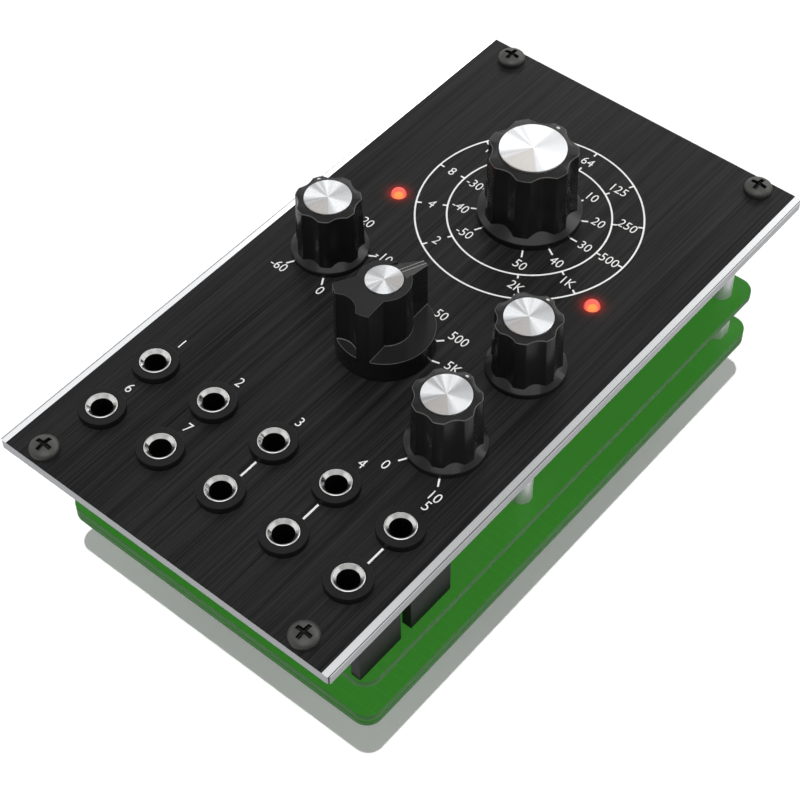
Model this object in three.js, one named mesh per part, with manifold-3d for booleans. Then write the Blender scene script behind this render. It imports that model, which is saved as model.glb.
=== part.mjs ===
// A modular synthesizer module for a 3U rack, lying on its back: a black front panel with
// knobs, sockets and lamps, and two stacked circuit boards behind it.
// Millimetres. +Z points out of the front panel, +Y to its upper end, and z = 0 is the
// surface that the module rests on. Each knob stands at its own setting.

import * as THREE from "three";
import { mergeVertices } from "three/addons/utils/BufferGeometryUtils.js";
import { ConvexGeometry } from "three/addons/geometries/ConvexGeometry.js";
import Module from "manifold-3d";

const wasm = await Module();
wasm.setup();

// Facets round one full turn
const turnFacets = { fine: 26, medium: 16, coarse: 14, small: 8, cornerArc: 4 };

// How far a cutting tool reaches past the face that it cuts
const overrun = 1;

// How far one piece of a fused solid reaches into the next
const fuse = 0.2;

// Front panel
const panel = {
  width: 70.8,
  height: 128.5,
  thickness: 2,
  cornerRadius: 0.6,
  bevelWidth: 1.4,
  bevelDrop: 0.2,
};

// Rack screws at the panel's corners
const screw = {
  insetX: 7.46,
  insetY: 3,
  headRadius: 2.65,
  headEdgeHeight: 0.9,
  headHeight: 1.9,
  crossLength: 3,
  crossWidth: 0.62,
  crossDepth: 0.9,
  shankRadius: 1.45,
  shankBelowPanel: 1.2,
  holeClearance: 0.2,
};

// Circuit boards, from the panel down
const board = {
  sideInset: 0.9,
  endInset: 9.25,
  thickness: 1.6,
  cornerRadius: 3,
  panelGap: 13.8,
  stackGap: 8.8,
  rearThickness: 1.3,
  rearGap: 0.2,
};

// Round spacers between the panel and the upper board, hexagonal ones below them
const spacer = {
  radius: 1.9,
  insetX: 4.4,
  insetY: 5.4,
  lowerShare: 0.0918,
  boreRadius: 1.4,
  studRadius: 1.1,
  studLength: 5,
  boardHoleRadius: 1.5,
  screwHeadRadius: 2.2,
  screwHeadHeight: 1.5,
  hexAcrossFlats: 4.4,
};

// Sockets for 3.5 mm plugs, in two rows of five
const jack = {
  columns: 5,
  rows: 2,
  columnPitchShare: 0.1879,
  rowPitchShare: 0.0969,
  firstRowShare: 0.114,
  boreRadius: 1.8,
  boreDepth: 13,
  bushingRadius: 2.67,
  bushingAbovePanel: 1.5,
  rimRounding: 0.4,
  bodyGap: 1.1,
  bodyLength: 10,
  postWidth: 1.9,
  slotDepth: 1.6,
  holeClearance: 0.2,
  nutOuterRadius: 4,
  nutHeight: 1.35,
  nutEdge: 0.3,
  nutClearance: 0.1,
};

// Potentiometers and the rotary switch, hung from the panel by a bushing and a nut
const pot = {
  canRadius: 7.8,
  canHeight: 8,
  baseHeight: 1.4,
  bushingRadius: 3.5,
  bushingAbovePanel: 4.5,
  bushingBore: 2.8,
  boreIntoCan: 5,
  holeClearance: 0.2,
  nutAcrossFlats: 9,
  nutHeight: 1.4,
  pinWidth: 1.2,
  pinThickness: 0.8,
  pinPitch: 5,
  pins: 3,
  pinOffsetShare: 0.9,
};
const rotarySwitch = {
  canRadius: 10.4,
  canHeight: 9,
  pins: 8,
  pinCircleShare: 0.84,
};

// Turning shafts: a round journal in the bushing and a flatted end in the knob
const shaft = {
  journalRadius: 2.5,
  endRadius: 3,
  flatDistance: 1.7,
  endGap: 0.3,
};

// What every knob shares
const knob = {
  floorGap: 0.5,
  nutRoomRadius: 5.5,
  nutRoomHeight: 1.5,
  bushingRoomRadius: 3.9,
  bushingRoomHeight: 4.9,
  boreClearance: 0.3,
  capThickness: 0.6,
  capClearance: 0.3,
  boreDepthUnderCap: 1.8,
};

// Fluted knobs: a seven lobed grip on a round skirt
const flute = { lobes: 7, ridgeShare: 0.35, scoopSteps: 4 };
const smallKnob = {
  skirtRadius: 6.93,
  skirtRimHeight: 1.1,
  coneTopRadius: 4.9,
  coneTopHeight: 2.3,
  gripFootRadius: 6.1,
  gripTopRadius: 5.75,
  scoopDepth: 0.65,
  topHeight: 12.95,
  topEdge: 0.3,
  capRadius: 4.15,
  capRise: 0.35,
};
const mainKnob = {
  skirtRadius: 9.42,
  skirtRimHeight: 1.35,
  coneTopRadius: 6.9,
  coneTopHeight: 2.8,
  gripFootRadius: 8.4,
  gripTopRadius: 7.95,
  scoopDepth: 1,
  topHeight: 15.8,
  topEdge: 0.35,
  capRadius: 5.92,
  capRise: 0.5,
};

// Selector knob: a round foot with a waisted grip, a flared tail and a roofed pointer
const selector = {
  footRadius: 8.56,
  footTopHeight: 4.95,
  footEdge: 0.3,
  bossRadius: 4.7,
  topHeight: 15.9,
  topShare: 0.98,
  tailWaistHalfWidth: 3.65,
  tailEndHalfWidth: 4.85,
  scoopHalfWidth: 2.68,
  scoopDepth: 1.3,
  scoopSteps: 8,
  endSteps: 2,
  pointerTipHalfWidth: 0.65,
  pointerRootHalfWidth: 2.06,
  pointerRootY: 3.1,
  pointerTipRidgeHeight: 14.6,
  pointerTipEavesHeight: 14.4,
  pointerRootEavesHeight: 15.7,
  capRadius: 3.2,
  capRise: 0.3,
};

// Where the controls stand, from the panel's centre, as shares of its width and height
const layoutShare = {
  mainKnobY: 0.2366,
  sideKnobX: 0.3037,
  sideKnobY: 0.0101,
  mixKnobY: -0.1533,
  selectorY: -0.072,
  lampY: 0.1549,
};
const thresholdTurn = 59;
const selectorTurn = -12;

// Indicator lamps: a 3 mm lens with a flange behind the panel and two leads
const lamp = {
  lensRadius: 1.5,
  lensAbovePanel: 0.9,
  flangeRadius: 1.9,
  flangeHeight: 1,
  holeClearance: 0.1,
  bodyBelowPanel: 3,
  leadWidth: 0.5,
  leadPitch: 1.6,
};

// Shrouded power header on the rear board, open downwards
const header = {
  width: 8.9,
  length: 20.3,
  height: 8.8,
  wall: 1.1,
  floorThickness: 2.2,
  keyWidth: 4.5,
  keyHeight: 5,
  pinPitch: 2.54,
  pinRows: 2,
  pinsPerRow: 5,
  pinWidth: 0.64,
  pinLength: 5.6,
  downShare: 0.0727,
};

// Plug-together connectors between the two boards
const connector = {
  width: 2.5,
  length: 20.3,
  socketHeight: 6.3,
  plugWidth: 2.1,
  sideShare: 0.2174,
  downShare: 0.2727,
};

// Small parts on the boards
const chip = { length: 9.9, width: 3.9, height: 1.6, leadSpan: 6, leadHeight: 0.5, leadLength: 8.2 };
const capacitor = { radius: 3.15, height: 6.6, edge: 0.4, sideShare: 0.2029 };

// Levels above the resting surface
const rearBoardBottom = header.height;
const rearBoardTop = rearBoardBottom + board.rearThickness;
const lowerBoardBottom = rearBoardTop + board.rearGap;
const lowerBoardTop = lowerBoardBottom + board.thickness;
const upperBoardBottom = lowerBoardTop + board.stackGap;
const upperBoardTop = upperBoardBottom + board.thickness;
const panelRear = upperBoardTop + board.panelGap;
const panelFace = panelRear + panel.thickness;

// Sizes and places that follow those of the panel and of the boards
const boardWidth = panel.width - 2 * board.sideInset;
const boardHeight = panel.height - 2 * board.endInset;
const sideX = panel.width * layoutShare.sideKnobX;
const lampY = panel.height * layoutShare.lampY;
const spacerX = boardWidth / 2 - spacer.insetX;
const spacerUpperY = boardHeight / 2 - spacer.insetY;
const spacerLowerY = -boardHeight * spacer.lowerShare;
const headerY = -boardHeight * header.downShare;

const finishes = {
  panelBlack: { color: 0x262626, roughness: 0.45, metalness: 0.6 },
  screwBlack: { color: 0x2c2c2b, roughness: 0.4, metalness: 0.8 },
  socketBlack: { color: 0x232324, roughness: 0.5, metalness: 0 },
  nutBlack: { color: 0x1e1e1e, roughness: 0.4, metalness: 0.2 },
  knobBlack: { color: 0x1b1b1c, roughness: 0.35, metalness: 0 },
  spunAluminium: { color: 0xdcdcdc, roughness: 0.25, metalness: 1 },
  zincSteel: { color: 0xa9abad, roughness: 0.4, metalness: 1 },
  boardGreen: { color: 0x2f7526, roughness: 0.4, metalness: 0 },
  lampRed: { color: 0xe02010, roughness: 0.2, metalness: 0 },
};

// Mesh tools

function toSolid(geometry) {
  const bare = geometry.clone();
  for (const name of Object.keys(bare.attributes)) {
    if (name !== "position") bare.deleteAttribute(name);
  }
  const merged = mergeVertices(bare);
  const index = merged.index;
  const vertProperties = new Float32Array(merged.attributes.position.array);
  const triVerts = new Uint32Array(index.array);
  return new wasm.Manifold(new wasm.Mesh({ numProp: 3, vertProperties, triVerts }));
}

function toGeometry(solid) {
  const mesh = solid.getMesh();
  const geometry = new THREE.BufferGeometry();
  geometry.setAttribute("position", new THREE.BufferAttribute(new Float32Array(mesh.vertProperties), 3));
  geometry.setIndex(new THREE.BufferAttribute(new Uint32Array(mesh.triVerts), 1));
  geometry.computeVertexNormals();
  return geometry;
}

function join(...geometries) {
  return toGeometry(geometries.map(toSolid).reduce((whole, piece) => whole.add(piece)));
}

function cut(geometry, ...tools) {
  return toGeometry(tools.map(toSolid).reduce((whole, tool) => whole.subtract(tool), toSolid(geometry)));
}

// Solids

function block(width, length, bottom, top, x = 0, y = 0) {
  const geometry = new THREE.BoxGeometry(width, length, top - bottom);
  return geometry.translate(x, y, (bottom + top) / 2);
}

// A turned solid from [radius, height] points that start and end on the axis
function turned(points, facets, x = 0, y = 0) {
  const profile = points.map(([radius, height]) => new THREE.Vector2(radius, height));
  const geometry = new THREE.LatheGeometry(profile, facets);
  return geometry.rotateX(Math.PI / 2).translate(x, y, 0);
}

function rod(radius, bottom, top, facets, x = 0, y = 0) {
  const geometry = new THREE.CylinderGeometry(radius, radius, top - bottom, facets);
  return geometry.rotateX(Math.PI / 2).translate(x, y, (bottom + top) / 2);
}

// Profile points of a dome above its edge, ending on the axis
function domePoints(radius, edgeHeight, rise, steps) {
  const points = [];
  for (let step = 1; step < steps; step += 1) {
    const angle = (step * Math.PI) / (2 * steps);
    points.push([radius * Math.cos(angle), edgeHeight + rise * Math.sin(angle)]);
  }
  points.push([0, edgeHeight + rise]);
  return points;
}

function slab(shape, bottom, top) {
  const options = { depth: top - bottom, bevelEnabled: false, curveSegments: turnFacets.cornerArc };
  return new THREE.ExtrudeGeometry(shape, options).translate(0, 0, bottom);
}

function shapeFrom(points) {
  return new THREE.Shape(points.map(([x, y]) => new THREE.Vector2(x, y)));
}

function roundedRectangle(width, height, radius) {
  const x = width / 2 - radius;
  const y = height / 2 - radius;
  const shape = new THREE.Shape();
  shape.absarc(x, y, radius, 0, Math.PI / 2);
  shape.absarc(-x, y, radius, Math.PI / 2, Math.PI);
  shape.absarc(-x, -y, radius, Math.PI, 1.5 * Math.PI);
  shape.absarc(x, -y, radius, 1.5 * Math.PI, 2 * Math.PI);
  return shape;
}

function hexagon(acrossFlats) {
  const corner = acrossFlats / Math.sqrt(3);
  const angles = [0, 1, 2, 3, 4, 5].map((side) => (side * Math.PI) / 3);
  return shapeFrom(angles.map((angle) => [corner * Math.cos(angle), corner * Math.sin(angle)]));
}

// A closed skin over rings of points, from the lowest ring to the highest
function loft(rings) {
  const count = rings[0].length;
  const positions = rings.flat().flatMap((point) => [point.x, point.y, point.z]);
  const faces = [];
  for (let ring = 0; ring + 1 < rings.length; ring += 1) {
    for (let side = 0; side < count; side += 1) {
      const next = (side + 1) % count;
      const low = ring * count;
      const high = low + count;
      faces.push(low + side, low + next, high + next);
      faces.push(low + side, high + next, high + side);
    }
  }
  const first = rings[0].map((point) => new THREE.Vector2(point.x, point.y));
  const lastStart = (rings.length - 1) * count;
  for (const [a, b, c] of THREE.ShapeUtils.triangulateShape(first, [])) {
    faces.push(a, c, b);
    faces.push(lastStart + a, lastStart + b, lastStart + c);
  }
  const geometry = new THREE.BufferGeometry();
  geometry.setAttribute("position", new THREE.Float32BufferAttribute(positions, 3));
  geometry.setIndex(faces);
  return geometry;
}

// Scene graph

const module = new THREE.Group();

function add(parent, name, geometry, finish) {
  const mesh = new THREE.Mesh(geometry, new THREE.MeshStandardMaterial(finish));
  mesh.name = name;
  parent.add(mesh);
  return mesh;
}

const screwPlaces = {
  top_left: [-1, 1],
  top_right: [1, 1],
  bottom_left: [-1, -1],
  bottom_right: [1, -1],
};

function screwPlace([sideX, sideY]) {
  return [sideX * (panel.width / 2 - screw.insetX), sideY * (panel.height / 2 - screw.insetY)];
}

function jackPlaces() {
  const places = [];
  const firstY = panel.height * (jack.firstRowShare - 1 / 2);
  const rowPitch = panel.height * jack.rowPitchShare;
  for (let row = 0; row < jack.rows; row += 1) {
    for (let column = 0; column < jack.columns; column += 1) {
      const x = (column - (jack.columns - 1) / 2) * panel.width * jack.columnPitchShare;
      places.push([x, firstY + (jack.rows - 1 - row) * rowPitch]);
    }
  }
  return places;
}

const dials = [
  { name: "main", x: 0, yShare: layoutShare.mainKnobY, turn: 0, size: mainKnob },
  { name: "threshold", x: -sideX, yShare: layoutShare.sideKnobY, turn: thresholdTurn, size: smallKnob },
  { name: "trim", x: sideX, yShare: layoutShare.sideKnobY, turn: 0, size: smallKnob },
  { name: "mix", x: sideX, yShare: layoutShare.mixKnobY, turn: 0, size: smallKnob },
  { name: "selector", x: 0, yShare: layoutShare.selectorY, turn: selectorTurn, size: selector },
].map((dial) => ({ ...dial, y: panel.height * dial.yShare }));

// The plate has a shallow bevel down each long edge and a hole for everything that it carries
function panelPlate() {
  const outline = roundedRectangle(panel.width, panel.height, panel.cornerRadius);
  const plate = slab(outline, panelRear, panelFace);
  const edge = panel.width / 2;
  const bevels = [-1, 1].map((side) => {
    const inner = edge - panel.bevelWidth;
    const slope = panel.bevelDrop / panel.bevelWidth;
    const outer = edge + overrun;
    const profile = shapeFrom([
      [side * inner, panelFace],
      [side * outer, panelFace - slope * (outer - inner)],
      [side * outer, panelFace + overrun],
      [side * inner, panelFace + overrun],
    ]);
    const length = panel.height + 2 * overrun;
    const tool = new THREE.ExtrudeGeometry(profile, { depth: length, bevelEnabled: false });
    return tool.rotateX(Math.PI / 2).translate(0, length / 2, 0);
  });
  const hole = (radius, facets, [x, y]) =>
    rod(radius, panelRear - overrun, panelFace + overrun, facets, x, y);
  const screwHole = screw.shankRadius + screw.holeClearance;
  const jackHole = jack.bushingRadius + jack.holeClearance;
  const potHole = pot.bushingRadius + pot.holeClearance;
  const lampHole = lamp.lensRadius + lamp.holeClearance;
  return cut(
    plate,
    ...bevels,
    ...Object.values(screwPlaces).map((place) => hole(screwHole, turnFacets.small, screwPlace(place))),
    ...jackPlaces().map((place) => hole(jackHole, turnFacets.coarse, place)),
    ...dials.map((dial) => hole(potHole, turnFacets.coarse, [dial.x, dial.y])),
    ...[-1, 1].map((side) => hole(lampHole, turnFacets.medium, [side * sideX, lampY])),
  );
}

// Pan head with a domed top, a crossed recess and a plain shank
function rackScrew() {
  const domeRise = screw.headHeight - screw.headEdgeHeight;
  const dome = domePoints(screw.headRadius, screw.headEdgeHeight, domeRise, 2);
  const body = turned(
    [
      [0, -panel.thickness - screw.shankBelowPanel],
      [screw.shankRadius, -panel.thickness - screw.shankBelowPanel],
      [screw.shankRadius, 0],
      [screw.headRadius, 0],
      [screw.headRadius, screw.headEdgeHeight],
      ...dome,
    ],
    turnFacets.coarse,
  );
  const recessFloor = screw.headHeight - screw.crossDepth;
  const recessTop = screw.headHeight + overrun;
  return cut(
    body,
    block(screw.crossLength, screw.crossWidth, recessFloor, recessTop),
    block(screw.crossWidth, screw.crossLength, recessFloor, recessTop),
  ).translate(0, 0, panelFace);
}

// Moulded socket body that fills the gap behind the panel, with a plated bushing through it
function jackSocket() {
  const bushingTop = panelFace + jack.bushingAbovePanel;
  const halfWidth = (panel.width * jack.columnPitchShare - jack.bodyGap) / 2;
  const halfLength = jack.bodyLength / 2;
  const slotHalf = halfWidth - jack.postWidth;
  const body = slab(
    shapeFrom([
      [-halfWidth, -halfLength],
      [-slotHalf, -halfLength],
      [-slotHalf, jack.slotDepth - halfLength],
      [slotHalf, jack.slotDepth - halfLength],
      [slotHalf, -halfLength],
      [halfWidth, -halfLength],
      [halfWidth, halfLength],
      [-halfWidth, halfLength],
    ]),
    upperBoardTop,
    panelRear,
  );
  const bushing = turned(
    [
      [0, panelRear - fuse],
      [jack.bushingRadius, panelRear - fuse],
      [jack.bushingRadius, bushingTop - jack.rimRounding],
      [jack.bushingRadius - jack.rimRounding, bushingTop],
      [0, bushingTop],
    ],
    turnFacets.coarse,
  );
  const mouth = jack.boreRadius + jack.rimRounding;
  const bore = turned(
    [
      [0, bushingTop - jack.boreDepth],
      [jack.boreRadius, bushingTop - jack.boreDepth],
      [jack.boreRadius, bushingTop - jack.rimRounding],
      [mouth, bushingTop],
      [mouth, bushingTop + overrun],
      [0, bushingTop + overrun],
    ],
    turnFacets.coarse,
  );
  return cut(join(body, bushing), bore);
}

function jackNut() {
  const inner = jack.bushingRadius + jack.nutClearance;
  const edge = jack.nutEdge;
  const top = panelFace + jack.nutHeight;
  return turned(
    [
      [inner, panelFace],
      [jack.nutOuterRadius, panelFace],
      [jack.nutOuterRadius, top - edge],
      [jack.nutOuterRadius - edge, top],
      [inner, top],
      [inner, panelFace],
    ],
    turnFacets.coarse,
  );
}

function mountingBushing() {
  return [
    rod(pot.bushingRadius, panelRear - fuse, panelFace + pot.bushingAbovePanel, turnFacets.medium),
    slab(hexagon(pot.nutAcrossFlats), panelFace, panelFace + pot.nutHeight),
  ];
}

function bushingBore() {
  const top = panelFace + pot.bushingAbovePanel + overrun;
  return rod(pot.bushingBore, panelRear - pot.boreIntoCan, top, turnFacets.medium);
}

// Round metal can on a terminal base, with solder pins down to the upper board
function potentiometer() {
  const canBottom = panelRear - pot.canHeight;
  const pinY = -pot.canRadius * pot.pinOffsetShare;
  const baseWidth = pot.pinPitch * (pot.pins - 1) + 2 * pot.pinWidth;
  const pieces = [
    rod(pot.canRadius, canBottom, panelRear, turnFacets.medium),
    block(baseWidth, pot.canRadius, canBottom - pot.baseHeight, canBottom + fuse, 0, pinY / 2),
    ...mountingBushing(),
  ];
  for (let pin = 0; pin < pot.pins; pin += 1) {
    const x = (pin - (pot.pins - 1) / 2) * pot.pinPitch;
    const y = pinY / 2 - pot.canRadius / 2 + pot.pinThickness / 2;
    pieces.push(block(pot.pinWidth, pot.pinThickness, upperBoardTop, canBottom, x, y));
  }
  return cut(join(...pieces), bushingBore());
}

// Larger can with its contacts in a circle
function rangeSwitch() {
  const canBottom = panelRear - rotarySwitch.canHeight;
  const pinCircle = rotarySwitch.canRadius * rotarySwitch.pinCircleShare;
  const pieces = [
    rod(rotarySwitch.canRadius, canBottom, panelRear, turnFacets.medium),
    ...mountingBushing(),
  ];
  for (let pin = 0; pin < rotarySwitch.pins; pin += 1) {
    const angle = (2 * Math.PI * (pin + 0.5)) / rotarySwitch.pins;
    const x = pinCircle * Math.cos(angle);
    const y = pinCircle * Math.sin(angle);
    pieces.push(block(pot.pinThickness, pot.pinThickness, upperBoardTop, canBottom + fuse, x, y));
  }
  return cut(join(...pieces), bushingBore());
}

// Outline of a round bar with one flat, on its +Y side
function flatted(radius, flatDistance) {
  const start = Math.PI - Math.asin(flatDistance / radius);
  const end = 2 * Math.PI + Math.asin(flatDistance / radius);
  const steps = turnFacets.coarse;
  const points = [];
  for (let step = 0; step <= steps; step += 1) {
    const angle = start + ((end - start) * step) / steps;
    points.push([radius * Math.cos(angle), radius * Math.sin(angle)]);
  }
  return shapeFrom(points);
}

function capTop(size) {
  return panelFace + size.topHeight + size.capRise;
}

function boreTop(size) {
  return capTop(size) - knob.capThickness - knob.boreDepthUnderCap;
}

function turningShaft(size) {
  const journalTop = panelFace + pot.bushingAbovePanel + shaft.endGap;
  const journalBottom = panelRear - pot.boreIntoCan + shaft.endGap;
  return join(
    rod(shaft.journalRadius, journalBottom, journalTop + fuse, turnFacets.medium),
    slab(flatted(shaft.endRadius, shaft.flatDistance), journalTop, boreTop(size) - shaft.endGap),
  );
}

// The hollows under every knob: room for the nut and bushing, and the bore for the shaft
function knobHollows(size) {
  const bottom = panelFace + knob.floorGap;
  const { boreClearance, capClearance, capThickness } = knob;
  const boreShape = flatted(shaft.endRadius + boreClearance, shaft.flatDistance + boreClearance);
  const capSeat = capTop(size) - capThickness - capClearance;
  const clear = capTop(size) + overrun;
  return [
    rod(knob.nutRoomRadius, bottom - overrun, bottom + knob.nutRoomHeight, turnFacets.coarse),
    rod(knob.bushingRoomRadius, bottom, bottom + knob.bushingRoomHeight, turnFacets.coarse),
    slab(boreShape, bottom + knob.bushingRoomHeight - fuse, boreTop(size)),
    rod(size.capRadius + capClearance, capSeat, clear, turnFacets.fine),
  ];
}

// One ring of the lobed grip: flat ridges with a shallow scoop between them, a ridge at +Y
function lobedRing(radius, scoopDepth, height) {
  const lobeAngle = (2 * Math.PI) / flute.lobes;
  const ridgeAngle = lobeAngle * flute.ridgeShare;
  const ring = [];
  for (let lobe = 0; lobe < flute.lobes; lobe += 1) {
    const ridgeStart = Math.PI / 2 + lobe * lobeAngle - ridgeAngle / 2;
    ring.push([ridgeStart, radius]);
    for (let step = 0; step < flute.scoopSteps; step += 1) {
      const along = step / flute.scoopSteps;
      const angle = ridgeStart + ridgeAngle + (lobeAngle - ridgeAngle) * along;
      ring.push([angle, radius - scoopDepth * (1 - (2 * along - 1) ** 2)]);
    }
  }
  return ring.map(([angle, reach]) => {
    const x = reach * Math.cos(angle);
    return new THREE.Vector3(x, reach * Math.sin(angle), height);
  });
}

function flutedKnob(size) {
  const bottom = panelFace + knob.floorGap;
  const top = panelFace + size.topHeight;
  const skirt = turned(
    [
      [0, bottom],
      [size.skirtRadius, bottom],
      [size.skirtRadius, bottom + size.skirtRimHeight],
      [size.coneTopRadius, bottom + size.coneTopHeight],
      [0, bottom + size.coneTopHeight],
    ],
    turnFacets.fine,
  );
  const grip = loft([
    lobedRing(size.gripFootRadius, size.scoopDepth, bottom + size.skirtRimHeight - fuse),
    lobedRing(size.gripTopRadius, size.scoopDepth, top - size.topEdge),
    lobedRing(size.gripTopRadius - size.topEdge, size.scoopDepth, top),
  ]);
  return cut(join(skirt, grip), ...knobHollows(size));
}

function arcPoints(centreX, centreY, radius, start, end, steps) {
  const points = [];
  for (let step = 0; step <= steps; step += 1) {
    const angle = start + ((end - start) * step) / steps;
    points.push([centreX + radius * Math.cos(angle), centreY + radius * Math.sin(angle)]);
  }
  return points;
}

// Boss and tail in plan: round in front, waisted, flared to the foot's edge, scooped at the end
function selectorGripOutline() {
  const waistAngle = Math.acos(selector.tailWaistHalfWidth / selector.bossRadius);
  const boss = arcPoints(0, 0, selector.bossRadius, -waistAngle, Math.PI + waistAngle, turnFacets.coarse);
  const endAngle = Math.acos(selector.tailEndHalfWidth / selector.footRadius);
  const scoopAngle = Math.acos(selector.scoopHalfWidth / selector.footRadius);
  const { footRadius, endSteps } = selector;
  const leftEnd = arcPoints(0, 0, footRadius, Math.PI + endAngle, Math.PI + scoopAngle, endSteps);
  const rightEnd = arcPoints(0, 0, footRadius, -scoopAngle, -endAngle, endSteps);
  const depth = selector.scoopDepth;
  const scoopRadius = (selector.scoopHalfWidth ** 2 + depth ** 2) / (2 * depth);
  const scoopEdgeY = -selector.footRadius * Math.sin(scoopAngle);
  const half = Math.asin(selector.scoopHalfWidth / scoopRadius);
  const scoopCentreY = scoopEdgeY + depth - scoopRadius;
  const up = Math.PI / 2;
  const scoop = arcPoints(0, scoopCentreY, scoopRadius, up + half, up - half, selector.scoopSteps);
  return [...boss, ...leftEnd, ...scoop.slice(1, -1), ...rightEnd];
}

// The pointer is a wedge in plan with a roof ridge that falls to its tip
function selectorPointer(gripBottom) {
  const tipY = Math.sqrt(selector.footRadius ** 2 - selector.pointerTipHalfWidth ** 2);
  const points = [];
  for (const side of [-1, 1]) {
    const tipX = side * selector.pointerTipHalfWidth;
    const rootX = side * selector.pointerRootHalfWidth;
    const tipEaves = panelFace + selector.pointerTipEavesHeight;
    const rootEaves = panelFace + selector.pointerRootEavesHeight;
    points.push(new THREE.Vector3(tipX, tipY, gripBottom));
    points.push(new THREE.Vector3(tipX, tipY, tipEaves));
    points.push(new THREE.Vector3(rootX, selector.pointerRootY, gripBottom));
    points.push(new THREE.Vector3(rootX, selector.pointerRootY, rootEaves));
  }
  points.push(new THREE.Vector3(0, tipY, panelFace + selector.pointerTipRidgeHeight));
  points.push(new THREE.Vector3(0, selector.pointerRootY, panelFace + selector.topHeight));
  return new ConvexGeometry(points);
}

function selectorKnob() {
  const bottom = panelFace + knob.floorGap;
  const footTop = panelFace + selector.footTopHeight;
  const foot = turned(
    [
      [0, bottom],
      [selector.footRadius, bottom],
      [selector.footRadius, footTop - selector.footEdge],
      [selector.footRadius - selector.footEdge, footTop],
      [0, footTop],
    ],
    2 * turnFacets.medium,
  );
  const gripBottom = footTop - selector.footEdge - fuse;
  const gripRing = (share, height) =>
    selectorGripOutline().map(([x, y]) => new THREE.Vector3(x * share, y * share, height));
  const grip = loft([
    gripRing(1, gripBottom),
    gripRing(selector.topShare, panelFace + selector.topHeight),
  ]);
  return cut(join(foot, grip, selectorPointer(gripBottom)), ...knobHollows(selector));
}

// Thin spun disc pressed into the top of a knob
function knobCap(size) {
  const top = capTop(size);
  return rod(size.capRadius, top - knob.capThickness, top, turnFacets.fine);
}

function indicatorLamp() {
  const lensBottom = panelRear - lamp.bodyBelowPanel;
  const domeBase = panelFace + lamp.lensAbovePanel - lamp.lensRadius;
  const dome = domePoints(lamp.lensRadius, domeBase, lamp.lensRadius, 3);
  const lens = turned(
    [
      [0, lensBottom],
      [lamp.lensRadius, lensBottom],
      [lamp.lensRadius, panelRear - lamp.flangeHeight],
      [lamp.flangeRadius, panelRear - lamp.flangeHeight],
      [lamp.flangeRadius, panelRear],
      [lamp.lensRadius, panelRear],
      [lamp.lensRadius, domeBase],
      ...dome,
    ],
    turnFacets.coarse,
  );
  const leads = [-1, 1].map((side) => {
    const x = (side * lamp.leadPitch) / 2;
    return block(lamp.leadWidth, lamp.leadWidth, upperBoardTop, lensBottom + fuse, x, 0);
  });
  return join(lens, ...leads);
}

const spacerPlaces = {
  upper_left: [-spacerX, spacerUpperY],
  upper_right: [spacerX, spacerUpperY],
  lower_left: [-spacerX, spacerLowerY],
  lower_right: [spacerX, spacerLowerY],
};

// Plain tube, held by the stud of the hexagonal standoff under the board
function upperSpacer() {
  const tube = rod(spacer.radius, upperBoardTop, panelRear, turnFacets.medium);
  const bore = rod(spacer.boreRadius, upperBoardTop - overrun, panelRear - overrun, turnFacets.small);
  return cut(tube, bore);
}

// Tube with the screw that holds it from under the board
function lowerSpacer() {
  const headBottom = upperBoardBottom - spacer.screwHeadHeight;
  return join(
    rod(spacer.radius, upperBoardTop, panelRear, turnFacets.medium),
    rod(spacer.studRadius, upperBoardBottom - fuse, upperBoardTop + fuse, turnFacets.small),
    rod(spacer.screwHeadRadius, headBottom, upperBoardBottom, turnFacets.small),
  );
}

// Standoff with a stud through the upper board and a screw through the two lower boards
function hexStandoff() {
  const studTop = upperBoardTop + spacer.studLength;
  const headBottom = rearBoardBottom - spacer.screwHeadHeight;
  return join(
    slab(hexagon(spacer.hexAcrossFlats), lowerBoardTop, upperBoardBottom).rotateZ(Math.PI / 6),
    rod(spacer.studRadius, upperBoardBottom - fuse, studTop, turnFacets.small),
    rod(spacer.studRadius, rearBoardBottom - fuse, lowerBoardTop + fuse, turnFacets.small),
    rod(spacer.screwHeadRadius, headBottom, rearBoardBottom, turnFacets.small),
  );
}

// Chip body with a slimmer layer for its two rows of leads, standing up or hanging down
function chipOn(level, direction, x, y) {
  const sunk = level - direction * fuse;
  const leadTop = level + direction * chip.leadHeight;
  const top = level + direction * chip.height;
  const low = Math.min(sunk, leadTop);
  const high = Math.max(sunk, leadTop);
  return [
    block(chip.leadSpan, chip.leadLength, low, high, x, y),
    block(chip.width, chip.length, Math.min(sunk, top), Math.max(sunk, top), x, y),
  ];
}

function blankBoard(bottom, thickness, holePlaces) {
  const outline = roundedRectangle(boardWidth, boardHeight, board.cornerRadius);
  const top = bottom + thickness;
  const holes = holePlaces.map(([x, y]) =>
    rod(spacer.boardHoleRadius, bottom - overrun, top + overrun, turnFacets.small, x, y),
  );
  return cut(slab(outline, bottom, top), ...holes);
}

// Chips hang under the upper board, between the controls' pins
function upperBoard() {
  const blank = blankBoard(upperBoardBottom, board.thickness, Object.values(spacerPlaces));
  const columnX = spacerX / 2;
  const rowY = spacerUpperY / 2;
  const chips = [-1, 1].flatMap((side) => chipOn(upperBoardBottom, -1, side * columnX, rowY));
  return join(blank, ...chips);
}

const standoffPlaces = [spacerPlaces.upper_left, spacerPlaces.upper_right];

function lowerBoard() {
  const blank = blankBoard(lowerBoardBottom, board.thickness, standoffPlaces);
  const rows = [-1, 0, 1].map((row) => (row * spacerUpperY) / 2);
  const chips = rows.flatMap((y) => chipOn(lowerBoardTop, 1, 0, y));
  return join(blank, ...chips);
}

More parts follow.
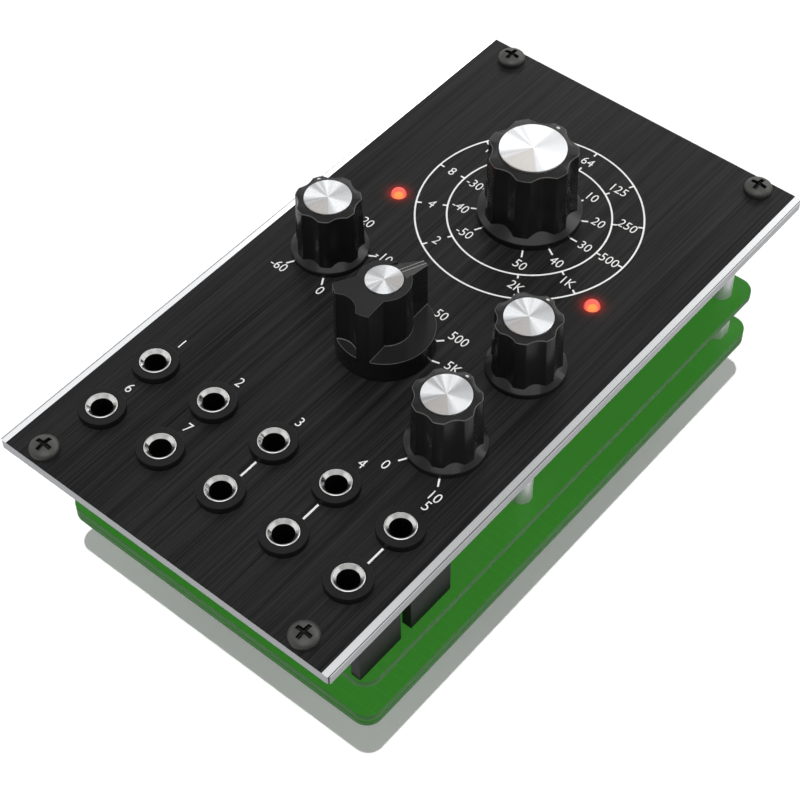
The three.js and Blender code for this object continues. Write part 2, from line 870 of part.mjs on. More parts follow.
// Two electrolytic capacitors stand beside the power header on the rear side
function rearBoard() {
  const blank = blankBoard(rearBoardBottom, board.rearThickness, standoffPlaces);
  const tip = rearBoardBottom - capacitor.height;
  const cans = [-1, 1].map((side) =>
    turned(
      [
        [0, tip],
        [capacitor.radius - capacitor.edge, tip],
        [capacitor.radius, tip + capacitor.edge],
        [capacitor.radius, rearBoardBottom + fuse],
        [0, rearBoardBottom + fuse],
      ],
      turnFacets.coarse,
      side * boardWidth * capacitor.sideShare,
      headerY,
    ),
  );
  return join(blank, ...cans);
}

// Socket strip on the upper board with its plug strip on the lower one
function boardConnector(side) {
  const { width, plugWidth, length } = connector;
  const socketBottom = upperBoardBottom - connector.socketHeight;
  const x = side * boardWidth * connector.sideShare;
  const y = -boardHeight * connector.downShare;
  return join(
    block(width, length, socketBottom, upperBoardBottom, x, y),
    block(plugWidth, length, lowerBoardTop, socketBottom + fuse, x, y),
  );
}

// Open box with a keyway in one long wall and two rows of pins
function powerHeader() {
  const floorBottom = header.height - header.floorThickness;
  const pinTip = floorBottom - header.pinLength;
  const innerWidth = header.width - 2 * header.wall;
  const innerLength = header.length - 2 * header.wall;
  const keyReach = header.wall + 2 * overrun;
  const keyX = (header.width - header.wall) / 2;
  const shell = cut(
    block(header.width, header.length, 0, header.height, 0, headerY),
    block(innerWidth, innerLength, -overrun, floorBottom, 0, headerY),
    block(keyReach, header.keyWidth, -overrun, header.keyHeight, keyX, headerY),
  );
  const pins = [];
  for (let row = 0; row < header.pinRows; row += 1) {
    for (let pin = 0; pin < header.pinsPerRow; pin += 1) {
      const x = (row - (header.pinRows - 1) / 2) * header.pinPitch;
      const y = headerY + (pin - (header.pinsPerRow - 1) / 2) * header.pinPitch;
      pins.push(block(header.pinWidth, header.pinWidth, pinTip, floorBottom + fuse, x, y));
    }
  }
  return join(shell, ...pins);
}

function addPanelAndScrews() {
  add(module, "front_panel", panelPlate(), finishes.panelBlack);
  for (const [corner, side] of Object.entries(screwPlaces)) {
    const [x, y] = screwPlace(side);
    add(module, `panel_screw_${corner}`, rackScrew(), finishes.screwBlack).position.set(x, y, 0);
  }
}

function addJacks() {
  jackPlaces().forEach(([x, y], index) => {
    const number = index + 1;
    add(module, `jack_socket_${number}`, jackSocket(), finishes.socketBlack).position.set(x, y, 0);
    add(module, `jack_nut_${number}`, jackNut(), finishes.nutBlack).position.set(x, y, 0);
  });
}

function addDials() {
  for (const dial of dials) {
    const isSelector = dial.size === selector;
    const carrierName = isSelector ? "selector_switch" : `${dial.name}_potentiometer`;
    const carrier = isSelector ? rangeSwitch() : potentiometer();
    add(module, carrierName, carrier, finishes.zincSteel).position.set(dial.x, dial.y, 0);
    const turning = new THREE.Group();
    turning.position.set(dial.x, dial.y, 0);
    turning.rotation.z = THREE.MathUtils.degToRad(dial.turn);
    module.add(turning);
    const grip = isSelector ? selectorKnob() : flutedKnob(dial.size);
    add(turning, `${dial.name}_knob`, grip, finishes.knobBlack);
    add(turning, `${dial.name}_knob_cap`, knobCap(dial.size), finishes.spunAluminium);
    add(turning, `${dial.name}_shaft`, turningShaft(dial.size), finishes.zincSteel);
  }
}

function addLamps() {
  for (const [side, name] of [[-1, "lamp_left"], [1, "lamp_right"]]) {
    add(module, name, indicatorLamp(), finishes.lampRed).position.set(side * sideX, lampY, 0);
  }
}

function addBoards() {
  add(module, "upper_board", upperBoard(), finishes.boardGreen);
  add(module, "lower_board", lowerBoard(), finishes.boardGreen);
  add(module, "rear_power_board", rearBoard(), finishes.boardGreen);
  for (const [place, [x, y]] of Object.entries(spacerPlaces)) {
    const geometry = place.startsWith("upper") ? upperSpacer() : lowerSpacer();
    add(module, `panel_spacer_${place}`, geometry, finishes.zincSteel).position.set(x, y, 0);
  }
  for (const [name, [x, y]] of [["left", standoffPlaces[0]], ["right", standoffPlaces[1]]]) {
    add(module, `hex_standoff_${name}`, hexStandoff(), finishes.zincSteel).position.set(x, y, 0);
  }
  add(module, "board_connector_left", boardConnector(-1), finishes.socketBlack);
  add(module, "board_connector_right", boardConnector(1), finishes.socketBlack);
  add(module, "power_header", powerHeader(), finishes.socketBlack);
}

addPanelAndScrews();
addJacks();
addDials();
addLamps();
addBoards();

export default module;
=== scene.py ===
"""Dresses a modular synthesizer module: smooth knobs, sockets, lamps, boards and printing
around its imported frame, with a pale stage and a camera. Metres, +Z out of the front panel."""

import math

import bmesh
import bpy
from bpy.props import FloatProperty, FloatVectorProperty, IntProperty, PointerProperty
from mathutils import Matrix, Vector


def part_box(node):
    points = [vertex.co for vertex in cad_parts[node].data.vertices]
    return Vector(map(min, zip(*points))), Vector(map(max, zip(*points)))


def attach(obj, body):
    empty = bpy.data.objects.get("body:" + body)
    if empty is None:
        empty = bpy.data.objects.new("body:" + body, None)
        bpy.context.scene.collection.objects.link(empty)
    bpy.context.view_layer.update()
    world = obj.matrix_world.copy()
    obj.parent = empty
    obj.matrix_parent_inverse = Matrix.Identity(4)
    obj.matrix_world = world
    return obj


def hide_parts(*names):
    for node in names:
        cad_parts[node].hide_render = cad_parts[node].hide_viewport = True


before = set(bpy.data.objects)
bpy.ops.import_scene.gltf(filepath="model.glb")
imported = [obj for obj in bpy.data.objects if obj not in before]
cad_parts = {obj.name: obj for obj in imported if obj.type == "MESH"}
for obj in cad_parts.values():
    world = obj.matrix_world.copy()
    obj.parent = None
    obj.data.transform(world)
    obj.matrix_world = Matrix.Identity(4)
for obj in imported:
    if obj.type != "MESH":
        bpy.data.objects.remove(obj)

bl_info = {
    "name": "Rack module dressing",
    "version": (1, 0, 0),
    "blender": (4, 5, 0),
    "location": "View3D > Sidebar > Module",
    "description": "Models and finishes the visible pieces of a rack module on its frame",
    "category": "Object",
}

MM = 0.001
PANEL_LOW, PANEL_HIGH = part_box("front_panel")
FACE = PANEL_HIGH.z
REAR = PANEL_LOW.z

# Each dial's node prefix, and how far its pieces are turned at rest, in degrees counterclockwise
FLUTED_DIALS = {"main": 0.0, "threshold": 59.0, "trim": 0.0, "mix": 0.0}
SELECTOR_TURN = -12.0
DIALS = (*FLUTED_DIALS, "selector")
SOCKETS = range(1, 11)
NUMBERED_SOCKETS = range(1, 8)
JOINED_SOCKETS = ((3, 8), (4, 9), (5, 10))

# The font's digits: their height, and how wide they are set as a share of their own width
DIGIT_HEIGHT = 0.7
DIGIT_WIDTH = 0.9

# How far sizes may differ when vertices and faces are chosen, and how far cutters overshoot
CLOSE = 0.01 * MM
NEAR = 0.1 * MM
PAST = MM
# Facets of round pieces that are seen close up, and of small ones
FINE = 128
COARSE = 64
# Rounding of plain parts' edges, and of pins'
EDGE = 0.12 * MM
PIN_EDGE = 0.08 * MM

# The main dial's outer numbers. The other scales: where their marks start and end and where
# their numbers stand, in millimetres from the axis, and the numbers by their angle in degrees
MAIN_NUMBERS = ("2", "4", "8", "16", "32", "64", "125", "250", "500", "1K", "2K")
SCALES = {
    "threshold": (6.6, 8.2, 9.5, {-150: "-60", -60: "-40", 0: "-20", 60: "-10", 150: "0"}),
    "mix": (6.6, 8.2, 10.3, {-150: "0", 150: "10"}),
    "selector": (8.5, 9.9, 12.4, {-45: "0.5", -15: "5", 15: "50", 45: "500", 75: "5K"}),
}

# Painted reflection on a spun cap round its axis: degrees clockwise from the picture's top, and
# tone
CAP_REFLECTION_TONES = (
    (0, 0.9), (8, 0.8), (14, 0.68), (20, 0.88), (32, 0.85), (46, 0.45), (60, 0.38), (84, 0.5),
    (108, 0.62), (120, 0.95), (150, 1.0), (160, 0.8), (171, 0.52), (180, 0.5), (184, 0.62),
    (230, 0.6), (246, 0.52), (256, 0.25), (266, 0.62), (276, 0.97), (304, 0.9), (316, 0.4),
    (325, 0.36), (332, 0.8), (340, 0.48), (345, 0.46), (352, 0.95),
)  # fmt: skip
# Where a cap's painted reflection turns warm: degrees, and share of the warm colour
CAP_WARM_REFLECTION = ((0, 0.0), (176, 0.0), (182, 1.0), (240, 1.0), (250, 0.0))
# Each cap's turn in degrees, how bright its painted light sectors are, and its contrast
CAP_REFLECTION_SHINE = {
    "main": (131.0, 1.1, 0.83),
    "threshold": (131.0, 0.93, 1.0),
    "trim": (131.0, 1.0, 1.0),
    "mix": (131.0, 1.08, 1.0),
    "selector": (236.0, 0.92, 1.0),
}

# What glossy surfaces mirror: the room's brightness by height, and that of a narrow screen high
# behind the module
STUDIO_ROOM = (
    (0.0, 1.0), (0.69, 1.0), (0.719, 0.86), (0.743, 0.69), (0.766, 0.57), (0.793, 0.39),
    (0.814, 0.39), (0.829, 0.51), (0.848, 0.7), (0.88, 0.95),
)  # fmt: skip
STUDIO_SCREEN = (
    (0.752, 1.17), (0.773, 1.05), (0.794, 0.91), (0.816, 0.78), (0.837, 0.67), (0.858, 0.5),
    (0.879, 0.51), (0.898, 0.66), (0.918, 0.9),
)  # fmt: skip
# A long light behind the module: its strength, and its reach by height
BACK_LIGHT = 2.6
BACK_HEIGHTS = ((0.4, 0.0), (0.48, 1.0), (0.62, 1.0), (0.69, 0.0))
# Light from all round by height: more of it comes from the sides than from above
STUDIO_FILL = ((0.0, 1.0), (0.35, 1.0), (0.45, 0.08), (1.0, 0.08))
# Soft boxes: their direction, radius in degrees and strength
SOFT_BOXES = (
    ((0.21, -0.24, 0.95), 25.0, 2.0),
    ((0.34, 0.69, 0.64), 10.0, 4.0),
    ((-0.78, -0.18, 0.6), 10.0, 1.5),
)

# The picture's camera: its place, turns in degrees and lens in millimetres, the way to it over
# the floor, and the way on the panel that runs down its picture
CAMERA_PLACE = (0.14161, -0.17126, 0.28474)
CAMERA_TURNS = (39.469, 0.574, 39.858)
CAMERA_LENS = 87.6
CAMERA_WAY = (0.65, -0.76)
PICTURE_DOWN = (0.64, -0.77)


def axis_of(node):
    """The place of a round node's axis."""
    low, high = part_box(node)
    return (low + high) / 2


def radius_of(node):
    """The radius of a round node."""
    low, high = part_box(node)
    return (high.y - low.y) / 2


def dial_place(dial):
    """The place of a dial's turning axis on the panel's face."""
    middle = axis_of(f"{dial}_knob_cap")
    return Vector((middle.x, middle.y, FACE))


BOARD = 1.6 * MM
REAR_BOARD = 1.3 * MM
UPPER_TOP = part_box("upper_board")[1].z
UPPER_BOTTOM = UPPER_TOP - BOARD
LOWER_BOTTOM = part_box("lower_board")[0].z
LOWER_TOP = LOWER_BOTTOM + BOARD
REAR_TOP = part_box("rear_power_board")[1].z
REAR_BOTTOM = REAR_TOP - REAR_BOARD


# Sizes and colours that a user would change


def length(name, description, millimetres):
    settings = {"default": millimetres * MM, "min": 0.0, "unit": "LENGTH", "precision": 5}
    return FloatProperty(name=name, description=description, **settings)


def share(name, description, default):
    return FloatProperty(name=name, description=description, default=default, min=0.0, max=1.0)


def colour(name, description, default):
    limits = {"size": 3, "min": 0.0, "max": 1.0}
    return FloatVectorProperty(
        name=name, description=description, default=default, subtype="COLOR", **limits
    )


class PanelLooks(bpy.types.PropertyGroup):
    black: colour("Black", "Anodised face of the panel", (0.0134, 0.0134, 0.0134))
    silver: colour("Silver", "Bare strips of the panel", (0.82, 0.83, 0.845))
    # The sides are painted a darker silver than the strips: painted shade on the same bare metal
    side: colour("Side", "Sawn sides of the panel", (0.325, 0.33, 0.345))
    strip_width: length("Bare strip", "Width of the bare strip along each long edge", 1.4)
    strip_fall: length("Strip fall", "How far the bare strip falls towards the edge", 0.2)
    edge_width: length("Edge width", "Distance of the scribed line from each long edge", 0.1)
    line_width: length("Edge line", "Width of the scribed line along each long edge", 0.15)
    # A thin dark line painted on each bare strip, just inside its outer edge
    line: colour("Line", "Scribed line along each long edge", (0.05, 0.05, 0.052))
    streak_width: length("Streak width", "Width of one brushing line", 0.2)
    streak_length: length("Streak length", "Length of one brushing line", 30)
    glow: colour("Glow", "Light of a lamp on the panel round it", (1.0, 0.03, 0.01))
    glow_reach: length("Glow reach", "How far a lamp's glow spreads", 0.5)


class PrintSizes(bpy.types.PropertyGroup):
    ink: colour("Ink", "Screen printed marks", (0.87, 0.87, 0.86))
    thickness: length("Ink thickness", "Height of the printing above the face", 0.03)
    line_width: length("Line width", "Width of rings and tick marks", 0.32)
    inner_ring: length("Inner ring", "Radius of the inner ring of the main scale", 14.7)
    outer_ring: length("Outer ring", "Radius of the outer ring of the main scale", 20.4)
    number_height: length("Number height", "Height of the scale's numbers", 1.95)
    label_height: length("Label height", "Height of the numbers at the sockets", 2.0)
    label_rise: length("Label rise", "Distance from a socket to its number", 6.3)


def knob_sizes(**millimetres):
    """The sizes of a fluted knob as properties, given in millimetres."""
    about = {
        "gap": ("Gap", "Room between the skirt and the panel"),
        "skirt": ("Skirt radius", "Outer radius of the skirt"),
        "rim": ("Rim height", "Height of the skirt's straight rim"),
        "cone": ("Cone top radius", "Radius at the top of the skirt's cone"),
        "cone_rise": ("Cone rise", "Height of the skirt's cone above its rim"),
        "foot": ("Grip foot radius", "Radius of the ridges at the foot of the grip"),
        "top": ("Grip top radius", "Radius of the ridges at the top of the grip"),
        "scoop": ("Scoop depth", "Depth of the scoop between two ridges"),
        "height": ("Height", "Top of the grip above the panel"),
        "fall": ("Top fall", "How far the top falls towards its edge"),
        "edge": ("Top edge", "Rounding of the grip's upper edge"),
        "dot_place": ("Dot distance", "Distance of the white dot from the axis"),
        "dot": ("Dot radius", "Radius of the white dot"),
    }
    return {name: length(*about[name], size) for name, size in millimetres.items()}


class SmallKnobSizes(bpy.types.PropertyGroup):
    __annotations__ = knob_sizes(
        gap=0.5, skirt=6.93, rim=1.1, cone=4.9, cone_rise=1.2, foot=6.1, top=5.75, scoop=0.65,
        height=12.95, fall=0.12, edge=0.24, dot_place=5.05, dot=0.3,
    )  # fmt: skip


class MainKnobSizes(bpy.types.PropertyGroup):
    __annotations__ = knob_sizes(
        gap=0.5, skirt=9.42, rim=1.35, cone=6.9, cone_rise=1.45, foot=8.4, top=7.95, scoop=1.0,
        height=15.8, fall=0.14, edge=0.26, dot_place=7.15, dot=0.35,
    )  # fmt: skip


class SelectorSizes(bpy.types.PropertyGroup):
    gap: length("Gap", "Room between the foot and the panel", 0.5)
    foot: length("Foot radius", "Radius of the round foot", 8.56)
    foot_top: length("Foot height", "Top of the foot above the panel", 4.95)
    boss: length("Boss radius", "Radius of the round middle of the grip", 4.7)
    height: length("Height", "Top of the grip above the panel", 15.9)
    top_share: share("Top share", "Width of the grip at its top as a share of its foot", 0.98)
    waist: length("Waist", "Half the width of the tail where it leaves the boss", 3.65)
    waist_y: length("Waist distance", "Distance of the waist behind the axis", 2.9)
    tail: length("Tail", "Half the width of the tail at its end", 4.85)
    tail_y: length("Tail distance", "Distance of the tail's corners behind the axis", 7.05)
    scoop: length("Scoop", "Half the width of the scoop in the tail's end", 2.68)
    scoop_depth: length("Scoop depth", "Depth of the scoop in the tail's end", 1.3)
    pointer_root: length("Pointer root", "Half the width of the pointer at its root", 2.06)
    pointer_root_y: length("Root distance", "Distance of the pointer's root from axis", 3.1)
    pointer_tip: length("Pointer tip", "Half the width of the pointer at its tip", 0.65)
    root_eaves: length("Root eaves", "Drop of the pointer's eaves at its root", 0.06)
    tip_ridge: length("Tip ridge", "Drop of the pointer's ridge at its tip", 1.3)
    tip_eaves: length("Tip eaves", "Drop of the pointer's eaves at its tip", 1.5)
    edge: length("Edge", "Rounding of the grip's edges", 0.1)
    # The pale line above the foot is a painted highlight
    seam: length("Seam", "Height of the pale line where the grip meets the foot", 0.24)


class KnobLooks(bpy.types.PropertyGroup):
    black: colour("Black", "Moulded knobs", (0.0145, 0.0145, 0.0143))
    # Painted highlight: pale paint on the knobs' rounded edges
    worn: colour("Edge highlight", "Polished edges of the knobs", (0.07, 0.07, 0.067))
    # Painted highlight: the pale line where the selector's grip meets its foot
    seam: colour("Seam", "Line where the selector's grip meets its foot", (0.4, 0.4, 0.385))
    lobes: IntProperty(
        name="Lobes", description="Ridges round a fluted grip", default=7, min=3, max=16
    )
    ridge_share: share("Ridge share", "Share of each lobe that its ridge takes", 0.35)
    nut_room: length("Nut room", "Radius of the hollow round the nut", 5.5)
    bushing_room: length("Bushing room", "Radius of the hollow round the bushing", 3.9)
    nut_hollow: length("Nut hollow height", "Height of the hollow round the nut", 1.5)
    hollow: length("Hollow height", "Height of the hollow round the bushing", 4.9)
    cap_gap: length("Cap gap", "Room round the cap in its seat", 0.12)
    seat_depth: length("Seat depth", "Depth of the cap's seat below the cap", 0.3)


class CapLooks(bpy.types.PropertyGroup):
    # A cap's light, dark and warm sectors are painted reflections of the room
    light: colour("Light", "Bright sectors of a spun cap", (0.72, 0.73, 0.745))
    dark: colour("Dark", "Dark sectors of a spun cap", (0.16, 0.16, 0.165))
    warm: colour("Warm", "Sectors that mirror the room behind the camera", (0.5, 0.48, 0.455))
    edge: length("Edge", "Rounding of the cap's edge", 0.12)


class SocketSizes(bpy.types.PropertyGroup):
    rim: length("Rim radius", "Outer radius of the plated rim", 2.67)
    bore: length("Bore radius", "Radius of the plug's hole", 1.89)
    rim_height: length("Rim height", "Top of the rim above the panel", 1.5)
    mouth: length("Mouth", "Width of the countersink round the bore", 0.53)
    rim_edge: length("Rim edge", "Rounding of the rim's outer edge", 0.12)
    bore_depth: length("Bore depth", "Depth of the plug's hole", 13)
    post: length("Post width", "Width of the corner posts of the housing", 1.9)
    slot_depth: length("Slot depth", "Depth of the recess between two posts", 1.6)
    nut: length("Nut radius", "Outer radius of the ring nut", 4.0)
    nut_height: length("Nut height", "Top of the ring nut above the panel", 1.35)
    nut_edge: length("Nut edge", "Chamfer of the ring nut", 0.16)


class BoardLooks(bpy.types.PropertyGroup):
    mask: colour("Solder mask", "Lacquer over the boards", (0.033, 0.178, 0.021))
    laminate: colour("Laminate", "Raw edges of the boards", (0.03, 0.138, 0.024))
    corner: length("Corner radius", "Rounding of the boards' corners", 3.0)
    edge: length("Edge", "Bevel of the boards' edges", 0.12)


class LampLooks(bpy.types.PropertyGroup):
    # The orange lower part and the dark far rim are painted for the camera's view: a painted glow
    # and a painted shade
    red: colour("Red", "Upper part of a lit lens", (1.0, 0.15, 0.11))
    orange: colour("Orange", "Lower part of a lit lens", (1.0, 0.36, 0.085))
    rim: colour("Rim", "Dark rim of a lit lens at its far side", (0.12, 0.004, 0.003))
    radius: length("Lens radius", "Radius of the lens", 1.5)
    rise: length("Lens rise", "Top of the lens above the panel", 0.9)


class StageLooks(bpy.types.PropertyGroup):
    floor: colour("Floor", "Plain pale floor", (0.9, 0.9, 0.9))
    floor_lift: share("Floor lift", "Brightness that the camera sees added to the floor", 0.19)
    key: share("Key light", "Brightness that the key light gives a white surface below it", 0.8)
    fill: share("Fill", "Strength of the light from all round", 1.0)


GROUPS = {
    "panel_looks": PanelLooks,
    "print_sizes": PrintSizes,
    "small_knob": SmallKnobSizes,
    "main_knob": MainKnobSizes,
    "selector": SelectorSizes,
    "knob_looks": KnobLooks,
    "cap_looks": CapLooks,
    "socket_sizes": SocketSizes,
    "board_looks": BoardLooks,
    "lamp_looks": LampLooks,
    "stage_looks": StageLooks,
}


# Modelling tools


def deselect():
    bpy.ops.object.select_all(action="DESELECT")


def choose(piece):
    deselect()
    piece.select_set(True)
    bpy.context.view_layer.objects.active = piece


def settle(piece):
    """Puts a piece's place, turn and scale into its mesh."""
    choose(piece)
    bpy.ops.object.transform_apply(location=True, rotation=True, scale=True)
    return piece


def add_block(low, high):
    deselect()
    middle = [(a + b) / 2 for a, b in zip(low, high)]
    size = [b - a for a, b in zip(low, high)]
    bpy.ops.mesh.primitive_cube_add(size=1.0, location=middle, scale=size)
    return settle(bpy.context.object)


def add_rod(radius, bottom, top, vertices=96, x=0.0, y=0.0):
    return add_cone(radius, radius, bottom, top, vertices, x=x, y=y)


def add_post(half_x, half_y, bottom, top, x=0.0, y=0.0):
    """An upright block round the upright line at x and y."""
    return add_block((x - half_x, y - half_y, bottom), (x + half_x, y + half_y, top))


def add_cone(low_radius, high_radius, bottom, top, vertices=96, turn=0.0, x=0.0, y=0.0):
    deselect()
    bpy.ops.mesh.primitive_cone_add(
        vertices=vertices,
        radius1=low_radius,
        radius2=high_radius,
        depth=top - bottom,
        location=(x, y, (bottom + top) / 2),
        rotation=(0.0, 0.0, turn),
    )
    return settle(bpy.context.object)


def pick(piece, kind, test):
    """Opens a piece in edit mode with the vertices, edges or faces selected that pass the test."""
    choose(piece)
    bpy.ops.object.mode_set(mode="EDIT")
    kinds = ("VERT", "EDGE", "FACE")
    bpy.context.tool_settings.mesh_select_mode = [kind == one for one in kinds]
    bpy.ops.mesh.select_all(action="DESELECT")
    mesh = bmesh.from_edit_mesh(piece.data)
    for element in (mesh.verts, mesh.edges, mesh.faces)[kinds.index(kind)]:
        if test(element):
            element.select_set(True)
    bmesh.update_edit_mesh(piece.data)


def close_edit():
    bpy.ops.object.mode_set(mode="OBJECT")


def looks_up(face):
    return face.normal.z > 0.99


def looks_down(face):
    return face.normal.z < -0.99


def edges_at(height):
    """A test for the edges at a height or above it."""
    return lambda edge: all(vertex.co.z > height - CLOSE for vertex in edge.verts)


def reach_of(face, place):
    """How far a face is from the upright axis at a place."""
    return math.hypot(face.center.x - place.x, face.center.y - place.y)


def bevel_edges(piece, test, width, segments):
    pick(piece, "EDGE", test)
    bpy.ops.mesh.bevel(offset=width, segments=segments, affect="EDGES")
    close_edit()


def slice_piece(piece, point, normal):
    """Adds edges where a plane meets a piece."""
    pick(piece, "FACE", lambda face: True)
    bpy.ops.mesh.bisect(plane_co=point, plane_no=normal)
    close_edit()


def step_faces(piece, test, inset, rise):
    """Insets the chosen faces and raises what is inside."""
    pick(piece, "FACE", test)
    bpy.ops.mesh.inset(thickness=inset)
    bpy.ops.transform.translate(value=(0.0, 0.0, rise))
    close_edit()


def scale_vertices(piece, test, x, y):
    """Scales the chosen vertices about the upright axis at the origin."""
    pick(piece, "VERT", test)
    bpy.ops.transform.resize(value=(x, y, 1.0), center_override=(0.0, 0.0, 0.0))
    close_edit()


def change(piece, kind, **settings):
    """Adds a modifier and applies it."""
    choose(piece)
    modifier = piece.modifiers.new(kind.title(), kind)
    for name, value in settings.items():
        setattr(modifier, name, value)
    bpy.ops.object.modifier_apply(modifier=modifier.name)
    return piece


def discard(*pieces):
    for piece in pieces:
        mesh = piece.data
        bpy.data.objects.remove(piece)
        bpy.data.meshes.remove(mesh)


def combine(piece, other, operation):
    """Joins another solid to a piece, or cuts it away, and removes it."""
    change(piece, "BOOLEAN", operation=operation, solver="EXACT", object=other)
    discard(other)
    return piece


def drill(piece, radius, bottom, top, vertices=96, x=0.0, y=0.0):
    return combine(piece, add_rod(radius, bottom, top, vertices, x, y), "DIFFERENCE")


def round_edges(piece, width, segments=2, angle=40.0):
    return change(
        piece,
        "BEVEL",
        width=width,
        segments=segments,
        limit_method="ANGLE",
        angle_limit=math.radians(angle),
        use_clamp_overlap=False,
    )


def repeat(piece, count, step):
    """Sets a row of equal pieces, each one step on from the last."""
    settings = {"use_relative_offset": False, "use_constant_offset": True}
    return change(piece, "ARRAY", count=count, constant_offset_displace=step, **settings)


def put(piece, place, turn=0.0, height=0.0, upside_down=False):
    """Moves a piece from the origin to a place, turned in degrees about the upright axis."""
    piece.rotation_euler = (math.pi if upside_down else 0.0, 0.0, math.radians(turn))
    piece.location = (place[0], place[1], height)
    return settle(piece)


def copy_piece(piece, place, turn=0.0, height=0.0, upside_down=False):
    choose(piece)
    bpy.ops.object.duplicate(linked=False)
    return put(bpy.context.object, place, turn, height, upside_down)


def merge(pieces):
    deselect()
    for piece in pieces:
        piece.select_set(True)
    bpy.context.view_layer.objects.active = pieces[0]
    bpy.ops.object.join()
    return settle(bpy.context.object)


def dress(piece, name, slot, *materials, body="chassis", nodes=(), smooth=30.0):
    """Names, smooths and paints a finished piece, and ties it to its body."""
    piece.name = name
    piece.data.name = name
    choose(piece)
    bpy.ops.object.shade_smooth_by_angle(angle=math.radians(smooth))
    change(piece, "WEIGHTED_NORMAL", keep_sharp=True)
    piece.data.materials.clear()
    for material in materials:
        piece.data.materials.append(material)
    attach(piece, body)
    if nodes:
        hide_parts(*nodes)
    return piece


def paint_faces(piece, index, test):
    for face in piece.data.polygons:
        if test(face):
            face.material_index = index


# Shader tools


class Socket:
    """A shader socket that works in sums: each operator adds its Math node."""

    def __init__(self, tree, output=None):
        self.tree = tree
        self.output = output

    def node(self, kind, settings=None, inputs=None, output=0):
        """Adds a node with its settings and the values or links of its sockets."""
        node = self.tree.nodes.new(kind)
        for name, value in (settings or {}).items():
            if name == "stops":
                self.set_stops(node.color_ramp, value)
            else:
                setattr(node, name, value)
        for name, value in (inputs or {}).items():
            if isinstance(value, Socket):
                self.tree.links.new(value.output, node.inputs[name])
            else:
                node.inputs[name].default_value = value
        return Socket(self.tree, node.outputs[output])

    @staticmethod
    def set_stops(ramp, stops):
        while len(ramp.elements) < len(stops):
            ramp.elements.new(1.0)
        for element, (position, value) in zip(ramp.elements, stops):
            element.position = position
            element.color = (value, value, value, 1.0)

    def math(self, operation, *values):
        return self.node("ShaderNodeMath", {"operation": operation}, dict(enumerate(values)))

    def __add__(self, other):
        return self.math("ADD", self, other)

    __radd__ = __add__

    def __sub__(self, other):
        return self.math("SUBTRACT", self, other)

    def __rsub__(self, other):
        return self.math("SUBTRACT", other, self)

    def __mul__(self, other):
        return self.math("MULTIPLY", self, other)

    __rmul__ = __mul__

    def __truediv__(self, other):
        return self.math("DIVIDE", self, other)

    def __abs__(self):
        return self.math("ABSOLUTE", self)

    def over(self, limit):
        return self.math("GREATER_THAN", self, limit)

    def least(self, other):
        return self.math("MINIMUM", self, other)

    def most(self, other):
        return self.math("MAXIMUM", self, other)

    def place(self, centre=(0.0, 0.0, 0.0), scale=(1.0, 1.0, 1.0)):
        """Object coordinates, centred and stretched."""
        coordinates = self.node("ShaderNodeTexCoord", output="Object")
        shift = [-value * factor for value, factor in zip(centre, scale)]
        inputs = {"Vector": coordinates, "Location": shift, "Scale": scale}
        return self.node("ShaderNodeMapping", None, inputs)

    def axes(self, vector):
        inputs = {0: vector}
        return [self.node("ShaderNodeSeparateXYZ", None, inputs, output=axis) for axis in "XYZ"]

    def length(self, x, y):
        return self.math("SQRT", x * x + y * y)

    @staticmethod
    def turned(x, y, way):
        """How far along a way a place is, and how far to the left of it."""
        return way[0] * x + way[1] * y, way[0] * y - way[1] * x

    def noise(self, vector, scale, detail=2.0, roughness=0.5):
        inputs = {"Vector": vector, "Scale": scale, "Detail": detail, "Roughness": roughness}
        return self.node("ShaderNodeTexNoise", None, inputs)

    def ramp(self, value, *stops):
        return self.node("ShaderNodeValToRGB", {"stops": stops}, {"Fac": value})

    def mix(self, factor, first, second):
        """Goes from the first colour to the second."""
        inputs = {"Factor": factor, 6: rgba(first), 7: rgba(second)}
        return self.node("ShaderNodeMix", {"data_type": "RGBA"}, inputs, output=2)

    def bump(self, height, distance, strength=1.0):
        inputs = {"Height": height, "Distance": distance, "Strength": strength}
        return self.node("ShaderNodeBump", None, inputs)


def rgba(value):
    """A colour with its alpha, or a link as it is."""
    return value if isinstance(value, Socket) else (*value, 1.0)


class Finish:
    """A material whose surface sockets take numbers, colours and links."""

    def __init__(self, name, **values):
        self.material = bpy.data.materials.new(name)
        self.material.use_nodes = True
        tree = self.material.node_tree
        self.shader = tree.nodes["Principled BSDF"]
        self.source = Socket(tree)
        self.set(**values)

    def set(self, **values):
        for name, value in values.items():
            socket = self.shader.inputs[name.replace("_", " ")]
            if isinstance(value, Socket):
                self.source.tree.links.new(value.output, socket)
            elif isinstance(value, (int, float)):
                socket.default_value = value
            else:
                socket.default_value = rgba(tuple(value))


def tint(color, factor):
    return tuple(min(1.0, value * factor) for value in color)


# Finishes


